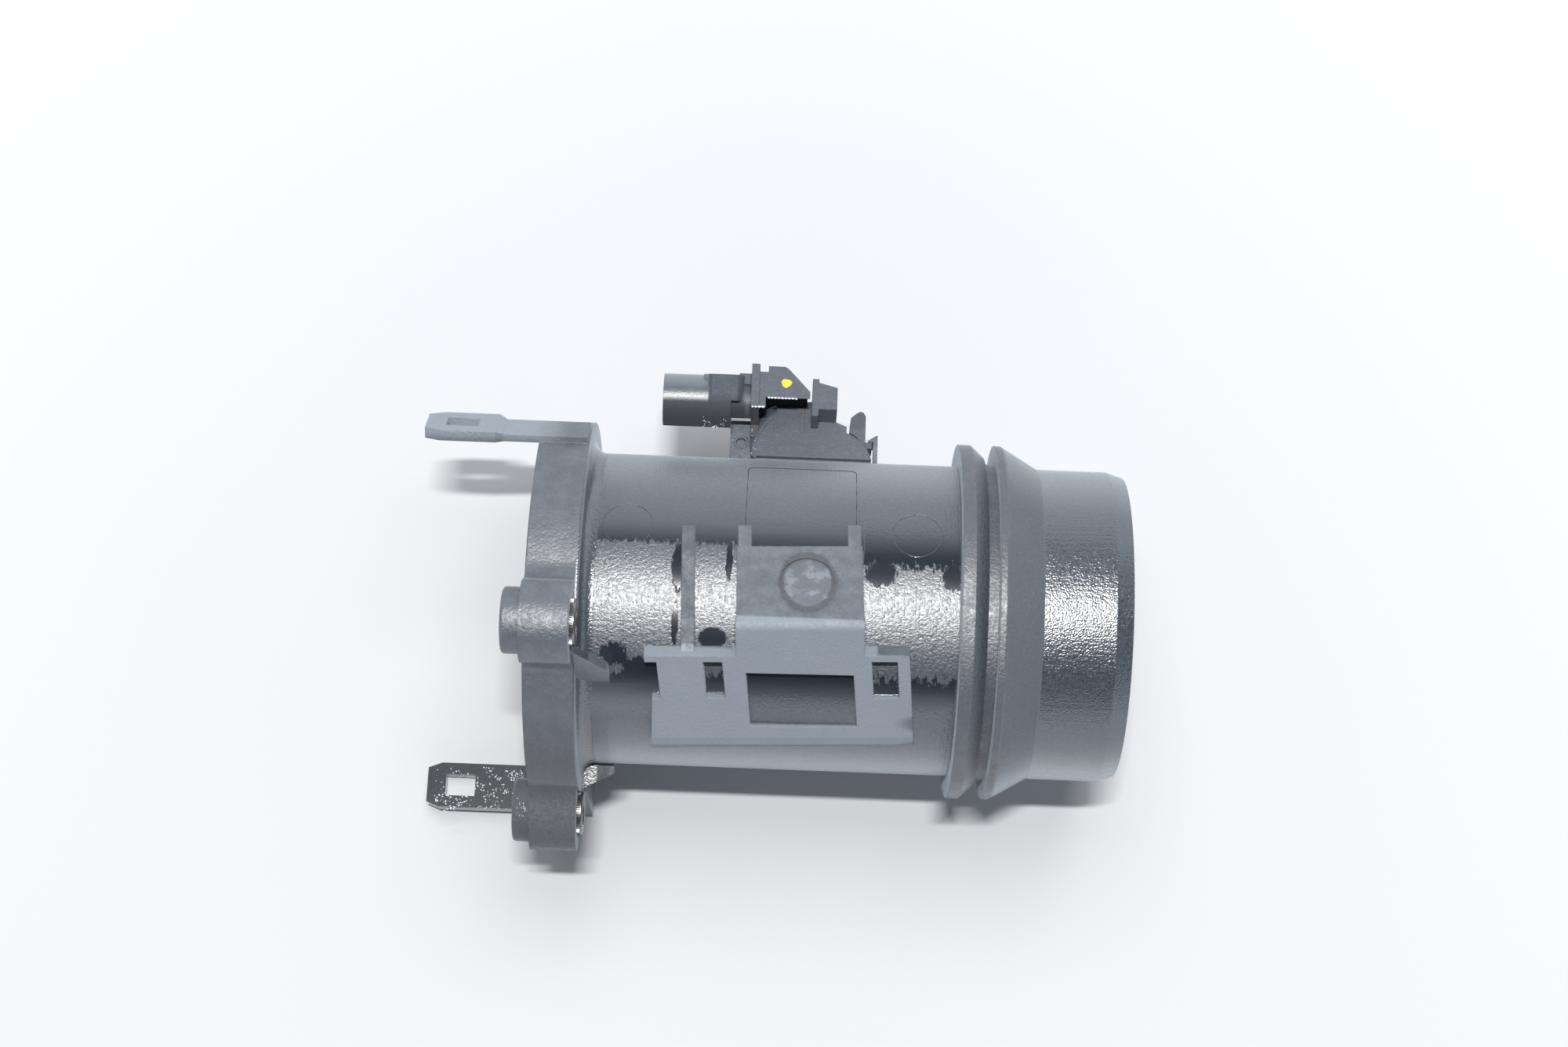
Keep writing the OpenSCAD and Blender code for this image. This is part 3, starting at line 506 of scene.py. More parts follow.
def grid_plastic():
    """Moulded plastic of the grid with a fine grain and pale scuffs."""
    f = Finish("grid_plastic")
    grain = f.noise(f.mm, scale=2.0, detail=1.0)
    cloud = f.noise(f.mm, scale=0.16, detail=4.0, roughness=0.6)
    scuff = f.step(f.noise(f.mm, scale=1.1, detail=5.0, roughness=0.7), 0.52, 0.78)
    colour = f.blend(cloud, (0.028, 0.030, 0.034), (0.060, 0.063, 0.068))
    colour = f.blend(f.product(scuff, 0.4), colour, (0.116, 0.1208, 0.1288))
    return f.set(Base_Color=colour, Roughness=f.scaled(grain, 0.2, 0.4),
                 Normal=f.bump(grain, 0.03, normal=f.soft_edges(0.12)), IOR=1.6,
                 Sheen_Weight=0.1, Sheen_Roughness=0.5)


def rubber():
    """Black rubber with a pale bloom."""
    f = Finish("seal_rubber")
    grain = f.noise(f.mm, scale=9.0, detail=4.0, roughness=0.7)
    bloom = f.step(f.noise(f.mm, scale=0.5, detail=4.0, roughness=0.6), 0.4, 0.75)
    colour = f.blend(f.product(bloom, 0.5), (0.016, 0.016, 0.018), (0.060, 0.060, 0.064))
    return f.set(Base_Color=colour, Roughness=f.scaled(grain, 0.25, 0.5),
                 Normal=f.bump(grain, 0.012), IOR=1.5, Sheen_Weight=0.2, Sheen_Roughness=0.4)


def turned_steel():
    """Dark steel of the bushes, with turning lines round the bore and stains."""
    f = Finish("bush_steel")
    lines = f.noise(f.mm, scale=1.0, detail=3.0, roughness=0.7, stretch=(14.0, 0.7, 0.7))
    stain = f.step(f.noise(f.mm, scale=1.3, detail=4.0, roughness=0.65), 0.42, 0.7)
    colour = f.blend(stain, (0.34, 0.34, 0.35), (0.17, 0.155, 0.145))
    rough = f.scaled(stain, 0.2, f.scaled(lines, 0.15, 0.2))
    return f.set(Base_Color=colour, Roughness=rough, Metallic=1.0, Normal=f.bump(lines, 0.012))


def stripes(f, pitch_turn, low, high):
    """Lines along X that repeat by a sine of the given turn per mm."""
    wave = f.math("SINE", f.math("MULTIPLY", f.x, pitch_turn))
    return f.step(f.math("ABSOLUTE", wave), low, high)


def lacquered_board():
    """Green lacquer over fine copper tracks."""
    f = Finish("board_green")
    track = stripes(f, 5.2, 0.72, 0.86)
    weave = f.noise(f.mm, scale=6.0, detail=3.0, roughness=0.6)
    colour = f.blend(track, (0.018, 0.105, 0.045), (0.040, 0.190, 0.085))
    colour = f.blend(f.product(weave, 0.3), colour, (0.015, 0.070, 0.035))
    return f.set(Base_Color=colour, Roughness=f.scaled(weave, 0.15, 0.18),
                 Normal=f.bump(track, 0.03, strength=0.6), IOR=1.5)


def film_violet():
    """Polished silicon with the meander of the heater film."""
    f = Finish("film_violet")
    meander = stripes(f, 17.0, 0.45, 0.6)
    haze = f.noise(f.mm, scale=3.0, detail=3.0)
    colour = f.blend(meander, (0.20, 0.15, 0.36), (0.42, 0.34, 0.52))
    return f.set(Base_Color=colour, Roughness=f.scaled(haze, 0.08, 0.05), Metallic=0.8,
                 Normal=f.bump(meander, 0.004))


def pin_brass():
    """Plated brass with drawing lines and tarnish."""
    f = Finish("pin_brass")
    lines = f.noise(f.mm, scale=1.0, detail=3.0, roughness=0.7, stretch=(1.0, 12.0, 12.0))
    tarnish = f.step(f.noise(f.mm, scale=0.8, detail=4.0, roughness=0.6), 0.45, 0.75)
    colour = f.blend(f.product(tarnish, 0.5), (0.76, 0.60, 0.28), (0.42, 0.31, 0.14))
    return f.set(Base_Color=colour, Roughness=f.scaled(lines, 0.18, 0.14), Metallic=1.0,
                 Normal=f.bump(lines, 0.006))


def grained(name, tones, grain, rough, relief, **values):
    """Finish of two tones: grain as (scale, detail, roughness), rough as (lowest, spread)."""
    f = Finish(name)
    pattern = f.noise(f.mm, *grain)
    lowest, spread = rough
    return f.set(Base_Color=f.blend(pattern, *tones), Roughness=f.scaled(pattern, spread, lowest),
                 Normal=f.bump(pattern, relief), **values)


def chip_black():
    """Moulded body of the chip."""
    return grained("chip_black", ((0.012, 0.012, 0.013), (0.034, 0.034, 0.037)),
                   grain=(14.0, 3.0, 0.6), rough=(0.42, 0.2), relief=0.012, IOR=1.5)


def capacitor_tan():
    """Fired ceramic of the capacitors."""
    return grained("capacitor_tan", ((0.30, 0.21, 0.12), (0.48, 0.37, 0.23)),
                   grain=(12.0, 3.0, 0.6), rough=(0.38, 0.2), relief=0.01, IOR=1.6)


def carrier_white():
    """White ceramic of the chip carrier."""
    return grained("carrier_white", ((0.50, 0.49, 0.46), (0.72, 0.71, 0.68)),
                   grain=(10.0, 4.0, 0.65), rough=(0.4, 0.2), relief=0.012, IOR=1.7)


def bead_glass():
    """Amber glass of the temperature bead."""
    return grained("bead_glass", ((0.36, 0.10, 0.03), (0.55, 0.22, 0.08)),
                   grain=(1.2, 3.0, 0.5), rough=(0.05, 0.1), relief=0.02, IOR=1.52,
                   Coat_Weight=0.6, Coat_Roughness=0.05)


def dot_paint():
    """Thick yellow marking paint."""
    return grained("dot_paint", ((0.50, 0.36, 0.03), (0.80, 0.62, 0.08)),
                   grain=(1.6, 3.0, 0.6), rough=(0.28, 0.25), relief=0.05, IOR=1.5)


def dried_water():
    """Small beads of moisture that dried pale."""
    return grained("dried_beads", ((0.50, 0.54, 0.58), (0.85, 0.87, 0.90)),
                   grain=(3.0, 2.0, 0.5), rough=(0.12, 0.2), relief=0.01, IOR=1.4)


def recess_black():
    """Unlit plastic under the hub, also used for the insert's fine line."""
    return grained("recess_black", ((0.008, 0.011, 0.016), (0.022, 0.029, 0.039)),
                   grain=(2.5, 3.0, 0.6), rough=(0.75, 0.15), relief=0.03, IOR=1.3)


FINISHES = {
    "tube_plastic": tube_plastic(),
    "sensor_plastic": sensor_plastic(),
    "grid_plastic": grid_plastic(),
    "bush_steel": turned_steel(),
    "seal_rubber": rubber(),
    "board_green": lacquered_board(),
    "chip_black": chip_black(),
    "capacitor_tan": capacitor_tan(),
    "carrier_white": carrier_white(),
    "film_violet": film_violet(),
    "bead_glass": bead_glass(),
    "pin_brass": pin_brass(),
    "dot_paint": dot_paint(),
    "dried_beads": dried_water(),
    "recess_black": recess_black(),
}


def dress_nodes():
    """Gives every CAD node the finish of its slot."""
    for subpart in frame["record"]["subparts"]:
        item = nodes[subpart["node"]]
        item.data.materials.clear()
        item.data.materials.append(FINISHES[subpart["material_slot"]])


# Mesh help


def piece_from(name, verts, faces, finish, smooth=False):
    """A new piece with its place in its mesh; verts in mm."""
    mesh = bpy.data.meshes.new(name)
    mesh.from_pydata([tuple(c * MM for c in v) for v in verts], [], faces)
    mesh.validate()
    work = bmesh.new()
    work.from_mesh(mesh)
    bmesh.ops.recalc_face_normals(work, faces=work.faces)
    work.to_mesh(mesh)
    work.free()
    mesh.materials.append(FINISHES[finish])
    mesh.polygons.foreach_set("use_smooth", [smooth] * len(mesh.polygons))
    mesh.update()
    item = bpy.data.objects.new(name, mesh)
    bpy.context.scene.collection.objects.link(item)
    return item


def turns(count):
    """Angles of a full turn in equal steps, without its end."""
    return [2 * math.pi * k / count for k in range(count)]


def quarter_turns(steps):
    """Angles of a quarter turn in equal steps, with both ends."""
    return [math.pi / 2 * k / steps for k in range(steps + 1)]


def at_clock(point, clock):
    """Turns a point (x, side, out) so that out points at a clock angle."""
    x, side, out = point
    c, s = math.cos(clock * DEG), math.sin(clock * DEG)
    return (x, side * c - out * s, side * s + out * c)


def at_sensor(point):
    """Point of the sensor's own frame, in the row frame."""
    x, y, z = point
    c, s = math.cos(-SENSOR_DROOP * DEG), math.sin(-SENSOR_DROOP * DEG)
    return (x + SENSOR_X, y * c - z * s, y * s + z * c)


def stand_up(point):
    """Puts a plate drawn in the sensor's x and z across its y."""
    return at_sensor((point[0], point[2], point[1]))


def on_tube(x, clock, out):
    """Point at a clock angle and a height over the tube's outside."""
    r = TUBE_R + out
    return (x, -r * math.sin(clock * DEG), r * math.cos(clock * DEG))


def closed_rings(rings):
    """Faces of a closed surface through rings of equal length, whose last ring joins the first."""
    count, size = len(rings), len(rings[0])
    verts = [v for ring in rings for v in ring]
    faces = []
    for i in range(count):
        j = (i + 1) % count
        for k in range(size):
            m = (k + 1) % size
            faces.append((i * size + k, j * size + k, j * size + m, i * size + m))
    return verts, faces


def open_rings(rings):
    """Faces of a closed surface through rings of equal length, with a cap at each end."""
    count, size = len(rings), len(rings[0])
    verts = [v for ring in rings for v in ring]
    faces = []
    for i in range(count - 1):
        for k in range(size):
            m = (k + 1) % size
            faces.append((i * size + k, i * size + m, (i + 1) * size + m, (i + 1) * size + k))
    faces.append(tuple(reversed(range(size))))
    faces.append(tuple((count - 1) * size + k for k in range(size)))
    return verts, faces


def rolled_plate(name, outline, place, low, high, roll, finish):
    """Plate of an outline between two heights, with its front edge rolled; place puts each point."""
    inward = []
    for i in range(len(outline)):
        ax, ay = outline[i - 1]
        bx, by = outline[(i + 1) % len(outline)]
        length = math.hypot(bx - ax, by - ay)
        inward.append((-(by - ay) / length, (bx - ax) / length))
    levels = [(0.0, low)]
    for turn in quarter_turns(4):
        levels.append((roll * (1 - math.cos(turn)), high - roll * (1 - math.sin(turn))))
    rings = [[place((x + nx * inset, y + ny * inset, z))
              for (x, y), (nx, ny) in zip(outline, inward)] for inset, z in levels]
    return piece_from(name, *open_rings(rings), finish)


def join(name, parts):
    """Joins pieces into the first of them and names it."""
    with bpy.context.temp_override(active_object=parts[0], selected_editable_objects=parts,
                                   selected_objects=parts):
        bpy.ops.object.join()
    parts[0].name = name
    parts[0].data.name = name
    return parts[0]


# Geometry Nodes help


def start_tree(name):
    tree = bpy.data.node_groups.new(name, "GeometryNodeTree")
    tree.interface.new_socket("Geometry", in_out="OUTPUT", socket_type="NodeSocketGeometry")
    return tree


def group_input(tree, name, kind, default=None):
    """Adds a named input to a tree and returns its identifier."""
    socket = tree.interface.new_socket(name, in_out="INPUT", socket_type="NodeSocket" + kind)
    if default is not None:
        socket.default_value = default
    return socket.identifier


def node_in(tree, kind, links=(), **settings):
    """A node with its settings; links are pairs of an output and the name or number of an input."""
    node = tree.nodes.new(kind)
    for key, value in settings.items():
        setattr(node, key, value)
    for source, target in links:
        tree.links.new(source, node.inputs[target])
    return node


def finish_tree(tree, geometry, finish):
    """Realize Instances and Set Material close every tree."""
    whole = node_in(tree, "GeometryNodeRealizeInstances", [(geometry, 0)])
    paint = node_in(tree, "GeometryNodeSetMaterial", [(whole.outputs[0], "Geometry")])
    paint.inputs["Material"].default_value = FINISHES[finish]
    node_in(tree, "NodeGroupOutput", [(paint.outputs[0], 0)])


def grown(name, tree, inputs, place=None):
    """Runs a tree on an empty mesh and returns its result as a plain mesh piece."""
    host = bpy.data.objects.new(name + "_host", bpy.data.meshes.new(name + "_host"))
    bpy.context.scene.collection.objects.link(host)
    modifier = host.modifiers.new("grow", "NODES")
    modifier.node_group = tree
    for identifier, value in inputs.items():
        modifier[identifier] = value
    bpy.context.view_layer.update()
    shown = host.evaluated_get(bpy.context.evaluated_depsgraph_get())
    mesh = bpy.data.meshes.new_from_object(shown)
    host.modifiers.remove(modifier)
    bpy.data.objects.remove(host)
    mesh.name = name
    if place:
        for vertex in mesh.vertices:
            vertex.co = [c * MM for c in place([c / MM for c in vertex.co])]
    item = bpy.data.objects.new(name, mesh)
    bpy.context.scene.collection.objects.link(item)
    return item


# Limiter bushes

TEETH = 58
TOOTH_BANDS = [(0.7, 6.9), (9.3, 17.2)]
GROOVE = (7.2, 7.5, 8.9, 9.2)
GROOVE_DEPTH = 0.2
RIM_CHAMFER = 0.4
RIM_STEP = 0.12
BORE_STEP = 0.15
BORE_CHAMFER = 0.5


def bush_profile():
    """Half section of a bush as (along, radius): grooved outside, stepped and chamfered bore."""
    root = BUSH_R - KNURL_DEPTH
    face_r = root - 0.35
    mouth_r = BUSH_BORE_R + BORE_CHAMFER
    end = BUSH_LENGTH
    outside = [(0.0, mouth_r), (0.0, face_r), (RIM_STEP, root - RIM_STEP), (RIM_CHAMFER, root),
               (GROOVE[0], root), (GROOVE[1], root - GROOVE_DEPTH),
               (GROOVE[2], root - GROOVE_DEPTH), (GROOVE[3], root),
               (end - RIM_CHAMFER, root), (end - RIM_STEP, root - RIM_STEP), (end, face_r)]
    bore = [(end, mouth_r), (end - BORE_STEP, BUSH_BORE_R + BORE_STEP),
            (end - BORE_CHAMFER, BUSH_BORE_R), (BORE_CHAMFER, BUSH_BORE_R),
            (BORE_STEP, BUSH_BORE_R + BORE_STEP)]
    return outside + bore


def bush_core(name, node, clock):
    """Turned core of a limiter bush, to the root of its knurl."""
    profile = bush_profile()
    rings = [[at_clock((x - BOSS_HEIGHT, r * math.cos(turn), BOLT_R + r * math.sin(turn)), clock)
              for x, r in profile] for turn in turns(96)]
    item = piece_from(name, *closed_rings(rings), "bush_steel")
    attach(item, "root")
    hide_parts(node)


def knurl_tree():
    """Straight teeth round an axis along Z: count, radius, depth and length as inputs."""
    tree = start_tree("knurl_ring")
    ids = {
        "teeth": group_input(tree, "Teeth", "Int", TEETH),
        "radius": group_input(tree, "Radius", "Float", BUSH_R * MM),
        "depth": group_input(tree, "Depth", "Float", KNURL_DEPTH * MM),
        "length": group_input(tree, "Length", "Float", 6 * MM),
    }
    given = tree.nodes.new("NodeGroupInput").outputs
    centre = node_in(tree, "ShaderNodeMath", [(given["Radius"], 0), (given["Depth"], 1)],
                     operation="SUBTRACT")
    circle = node_in(tree, "GeometryNodeMeshCircle",
                     [(given["Teeth"], "Vertices"), (centre.outputs[0], "Radius")],
                     fill_type="NONE")
    tooth = node_in(tree, "GeometryNodeMeshCylinder",
                    [(given["Depth"], "Radius"), (given["Length"], "Depth")])
    tooth.inputs["Vertices"].default_value = 3
    point = tree.nodes.new("GeometryNodeInputPosition")
    turn = node_in(tree, "FunctionNodeAlignEulerToVector", [(point.outputs[0], "Vector")],
                   axis="X")
    place = node_in(tree, "GeometryNodeInstanceOnPoints",
                    [(circle.outputs["Mesh"], "Points"), (tooth.outputs["Mesh"], "Instance"),
                     (turn.outputs[0], "Rotation")])
    finish_tree(tree, place.outputs[0], "bush_steel")
    return tree, ids


def bush_knurl(name, clock, tree, ids):
    """The two knurled bands of a bush, joined in one piece."""
    parts = []
    for number, (low, high) in enumerate(TOOTH_BANDS):
        middle = (low + high) / 2 - BOSS_HEIGHT

        def lay(point, middle=middle):
            x, y, z = point
            return at_clock((middle + z, x, BOLT_R + y), clock)

        inputs = {ids["teeth"]: TEETH, ids["radius"]: BUSH_R * MM, ids["depth"]: KNURL_DEPTH * MM,
                  ids["length"]: (high - low) * MM}
        parts.append(grown(f"{name}_{number}", tree, inputs, lay))
    item = join(name, parts)
    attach(item, "root")


def make_bushes():
    tree, ids = knurl_tree()
    for side, node, clock in (("upper", "bush_upper", LOBE_1_CLOCK),
                              ("lower", "bush_lower", LOBE_2_CLOCK)):
        bush_core(f"{side}_bush_core", node, clock)
        bush_knurl(f"{side}_bush_knurl", clock, tree, ids)


# Marks on the tube

LINE_ROOT = -0.08
LINE_SHOULDER = 0.3
LINE_CROWN = 0.4
EJECTORS = {"ejector_ring_left": 23.6, "ejector_ring_right": 95.2}
EJECTOR_CLOCK = -33.4
EJECTOR_R = 6.2
INSERT_LEFT = 52.6
INSERT_RIGHT = 80.0
INSERT_TOP = -69.5
INSERT_LOW = -29.0
INSERT_CORNER = 1.9
INSERT_SIDE_STEP = 8.0
INSERT_TOP_STEP = 3.0


def tube_line(name, path, half_width, height, closed=True, finish="tube_plastic"):
    """Thin raised line along a path of (x, clock) points on the tube's outside."""
    count = len(path)
    section = ((-1, LINE_ROOT), (-1, LINE_SHOULDER * height), (-LINE_CROWN, height),
               (LINE_CROWN, height), (1, LINE_SHOULDER * height), (1, LINE_ROOT))
    rings = []
    for i, (x, clock) in enumerate(path):
        before, after = path[i - 1], path[(i + 1) % count]
        if not closed:
            before, after = path[max(i - 1, 0)], path[min(i + 1, count - 1)]
        dx, da = after[0] - before[0], (after[1] - before[1]) * TUBE_R * DEG
        length = math.hypot(dx, da)
        nx, na = -da / length * half_width, dx / length * half_width
        rings.append([on_tube(x + nx * across, clock + na * across / (TUBE_R * DEG), out)
                      for across, out in section])
    surface = closed_rings(rings) if closed else open_rings(rings)
    item = piece_from(name, *surface, finish, smooth=True)
    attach(item, "root")


def make_ejector_rings():
    """Rings that the mould's ejectors left on the tube."""
    for name, x in EJECTORS.items():
        path = [(x + EJECTOR_R * math.cos(t), EJECTOR_CLOCK + EJECTOR_R * math.sin(t) / (TUBE_R * DEG))
                for t in turns(72)]
        tube_line(name, path, half_width=0.14, height=0.07)


def make_insert_outline():
    """Fine line that a slide of the mould left on the tube above the bracket."""
    corner_turn = INSERT_CORNER / (TUBE_R * DEG)
    path = [(INSERT_LEFT, INSERT_LOW - INSERT_SIDE_STEP * k) for k in range(5)]
    path += [(INSERT_LEFT + INSERT_CORNER * (1 - math.cos(t)),
              INSERT_TOP + corner_turn * (1 - math.sin(t))) for t in quarter_turns(6)]
    path += [(INSERT_LEFT + INSERT_CORNER + INSERT_TOP_STEP * k, INSERT_TOP) for k in range(1, 8)]
    path += [(INSERT_RIGHT - INSERT_CORNER * (1 - math.sin(t)),
              INSERT_TOP + corner_turn * (1 - math.cos(t))) for t in quarter_turns(6)]
    path += [(INSERT_RIGHT, INSERT_LOW - INSERT_SIDE_STEP * k) for k in range(4, -1, -1)]
    tube_line("insert_outline", path, half_width=0.07, height=0.09, closed=False,
              finish="recess_black")


# Details of the sensor, in its own frame

DOT_CENTRE = (-7.4, 54.4)
DOT_R = 1.3
DOT_WIDER = 1.12
DOT_HEIGHT = 0.22
DOT_SINK = 0.06
SHOULDER_FROM = 97.0
SHOULDER_TO = 180.0
SHOULDER_BULGE = 3.1
SHOULDER_SLIM = 1.7
SHOULDER_LOW = 8.0
SHOULDER_ROLL = 2.2
SHOULDER_INNER_R = DRUM_R - 0.9
SHOULDER_STATIONS = 28
GLINT_STEP = 0.16
DIMPLE_CENTRE = (-18.7, 43.9)
DIMPLE_WIDER = 1.1
DIMPLE_SECTION = [(1.15, 0.0), (1.2, 0.12), (1.4, 0.2), (1.75, 0.12), (1.85, -0.05), (1.2, -0.3)]


def make_paint_dot():
    """Dab of yellow paint on the hub's front face, domed, with an uneven edge."""
    rng = random.Random(5)
    rings, around = 6, 36
    edge = [1.0 + 0.1 * math.sin(3 * t + 0.6) + 0.05 * math.sin(7 * t) + rng.uniform(-0.02, 0.02)
            for t in turns(around)]
    verts = [at_sensor((*DOT_CENTRE, HUB_FACE + DOT_HEIGHT))]
    for i in range(1, rings + 1):
        share = i / rings
        lift = DOT_HEIGHT * (1 - share ** 2.4) - (DOT_SINK if i == rings else 0)
        for t, wobble in zip(turns(around), edge):
            r = DOT_R * share * wobble
            verts.append(at_sensor((DOT_CENTRE[0] + DOT_WIDER * r * math.cos(t),
                                    DOT_CENTRE[1] + r * math.sin(t), HUB_FACE + lift)))
    faces = [(0, 1 + k, 1 + (k + 1) % around) for k in range(around)]
    for i in range(rings - 1):
        a, b = 1 + i * around, 1 + (i + 1) * around
        for k in range(around):
            m = (k + 1) % around
            faces.append((a + k, b + k, b + m, a + m))
    faces.append(tuple(reversed([1 + (rings - 1) * around + k for k in range(around)])))
    item = piece_from("paint_dot", verts, faces, "dot_paint", smooth=True)
    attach(item, "root")


def make_drum_shoulder():
    """Fuller upper left corner of the drum, rolled over towards its rim."""
    top = DRUM_FACE + 0.02
    rings = []
    for i in range(SHOULDER_STATIONS + 1):
        share = i / SHOULDER_STATIONS
        angle = (SHOULDER_FROM + (SHOULDER_TO - SHOULDER_FROM) * share) * DEG
        outer_r = DRUM_R + SHOULDER_BULGE * math.sin(math.pi * share) ** SHOULDER_SLIM
        section = [(outer_r, SHOULDER_LOW)]
        for turn in quarter_turns(5):
            section.append((SHOULDER_INNER_R + (outer_r - SHOULDER_INNER_R) * math.cos(turn),
                            top - SHOULDER_ROLL * (1 - math.sin(turn))))
        section.append((SHOULDER_INNER_R, SHOULDER_LOW))
        rings.append([at_sensor((DRUM_CENTRE[0] + r * math.cos(angle),
                                 DRUM_CENTRE[1] + r * math.sin(angle), z)) for r, z in section])
    return piece_from("drum_shoulder", *open_rings(rings), "sensor_plastic", smooth=True)


def make_duct_cover():
    """Face that closes the drum over the contacts."""
    outline = [(-10.4, 46.0), (-2.4, 46.0), (-2.4, 54.3), (-4.8, 53.9), (-10.4, 50.8)]
    return rolled_plate("duct_cover", outline, at_sensor, low=11.0, high=DRUM_FACE + 0.05, roll=0.05,
                        finish="sensor_plastic")


def make_hub_web():
    """Web, apron and lip that close the hub towards the drum, in near-black plastic: painted shade under
    the hub.
    """
    web = [(-15.0, 45.0), (-9.2, 45.0), (-9.2, 57.2), (-15.0, 57.2)]
    apron = [(-12.4, 12.0), (-1.8, 12.0), (-1.8, 21.5), (-12.4, 21.5)]
    lip = [(-16.3, 8.0), (-12.4, 8.0), (-12.4, 22.5), (-16.3, 22.5)]
    parts = [
        rolled_plate("web", web, at_sensor, 6.5, 9.6, 0.3, "recess_black"),
        rolled_plate("apron", apron, stand_up, 53.3, 53.85, 0.2, "recess_black"),
        rolled_plate("lip", lip, stand_up, 50.6, 51.4, 0.2, "recess_black"),
    ]
    return join("hub_web", parts)


def make_keeper_dimple():
    """Shallow round dimple on the keeper, with a raised rim."""
    rings = [[at_sensor((DIMPLE_CENTRE[0] + DIMPLE_WIDER * r * math.cos(turn),
                         DIMPLE_CENTRE[1] + r * math.sin(turn), KEEPER_FACE + z))
              for r, z in DIMPLE_SECTION] for turn in turns(40)]
    return piece_from("keeper_dimple", *closed_rings(rings), "tube_plastic", smooth=True)


def make_sensor_details():
    for item in (make_drum_shoulder(), make_duct_cover()):
        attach(item, "root")
    dimple = make_keeper_dimple()
    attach(dimple, "root")
    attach(make_hub_web(), "root")


def painted_edge_glint(name, path, radius, seed):
    """Pale beads run together along a path of sensor points, with an uneven thickness: a painted
    highlight line.
    """
    rng = random.Random(seed)
    line = []
    for start, end in zip(path, path[1:]):
        count = max(2, int(math.dist(start, end) / GLINT_STEP))
        line += [tuple(a + (b - a) * k / count for a, b in zip(start, end)) for k in range(count)]
    line.append(path[-1])
    rings = []
    for i, (x, y, z) in enumerate(line):
        r = radius * (0.62 + 0.38 * math.sin(1.15 * i)) * rng.uniform(0.8, 1.1)
        if i in (0, len(line) - 1):
            r = 0.3 * radius
        rings.append([at_sensor((x, y + r * math.cos(t), z + r * math.sin(t))) for t in turns(8)])
    return piece_from(name, *open_rings(rings), "dried_beads", smooth=True)


def make_edge_glints():
    """Painted highlight: pale beaded lines along the hub's lower front edges, where the edges catch the
    light.
    """
    left = [(-16.2, 47.6, HUB_FACE), (-12.7, 47.6, HUB_FACE)]
    right = [(-12.1, 50.2, HUB_FACE), (-4.9, 50.2, HUB_FACE), (-4.4, 50.2, HUB_FACE - 0.4)]
    for name, path, radius, seed in (("seam_left", left, 0.40, 38), ("seam_right", right, 0.30, 33)):
        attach(painted_edge_glint(name, path, radius, seed), "root")


# Dried beads

# name: surface, middle, width, depth, beads per square mm, bead radius, cluster scale, seed
BEAD_FIELDS = {
    "tab_beads": ("tube_housing", (-19.6, -52.2, 0.0), 15.0, 11.0, 2.4, 0.21, 0.35, 3),
    "tab_end_beads": ("tube_housing", (-29.0, -52.2, 0.0), 4.4, 9.0, 1.4, 0.18, 0.35, 7),
    "tab_root_beads": ("tube_housing", (-9.6, -50.4, 0.0), 5.6, 6.4, 5.0, 0.19, 0.30, 8),
    "boss_beads": ("tube_housing", (-2.2, -51.0, 20.0), 2.4, 5.0, 4.0, 0.15, 0.5, 4),
    "socket_beads": ("sensor_housing", (42.9, 48.6, 20.0), 6.6, 3.2, 3.0, 0.15, 0.6, 11),
    "seam_beads": ("sensor_housing", (53.3, 44.5, 20.0), 1.2, 11.0, 1.1, 0.17, 0.6, 6),
}
BEAD_INPUTS = {
    "Surface": ("Object", None),
    "Middle": ("Vector", (0, 0, 0)),
    "Width": ("Float", 0.01),
    "Depth": ("Float", 0.01),
    "Density": ("Float", 1e6),
    "Bead radius": ("Float", 0.3 * MM),
    "Cluster scale": ("Float", 200.0),
    "Seed": ("Int", 1),
}
BEAD_DROP = 120.0
BEAD_SIZES = (0.3, 1.0)
BEAD_FLATNESS = 0.5
CLUSTER_SHARE = 0.5


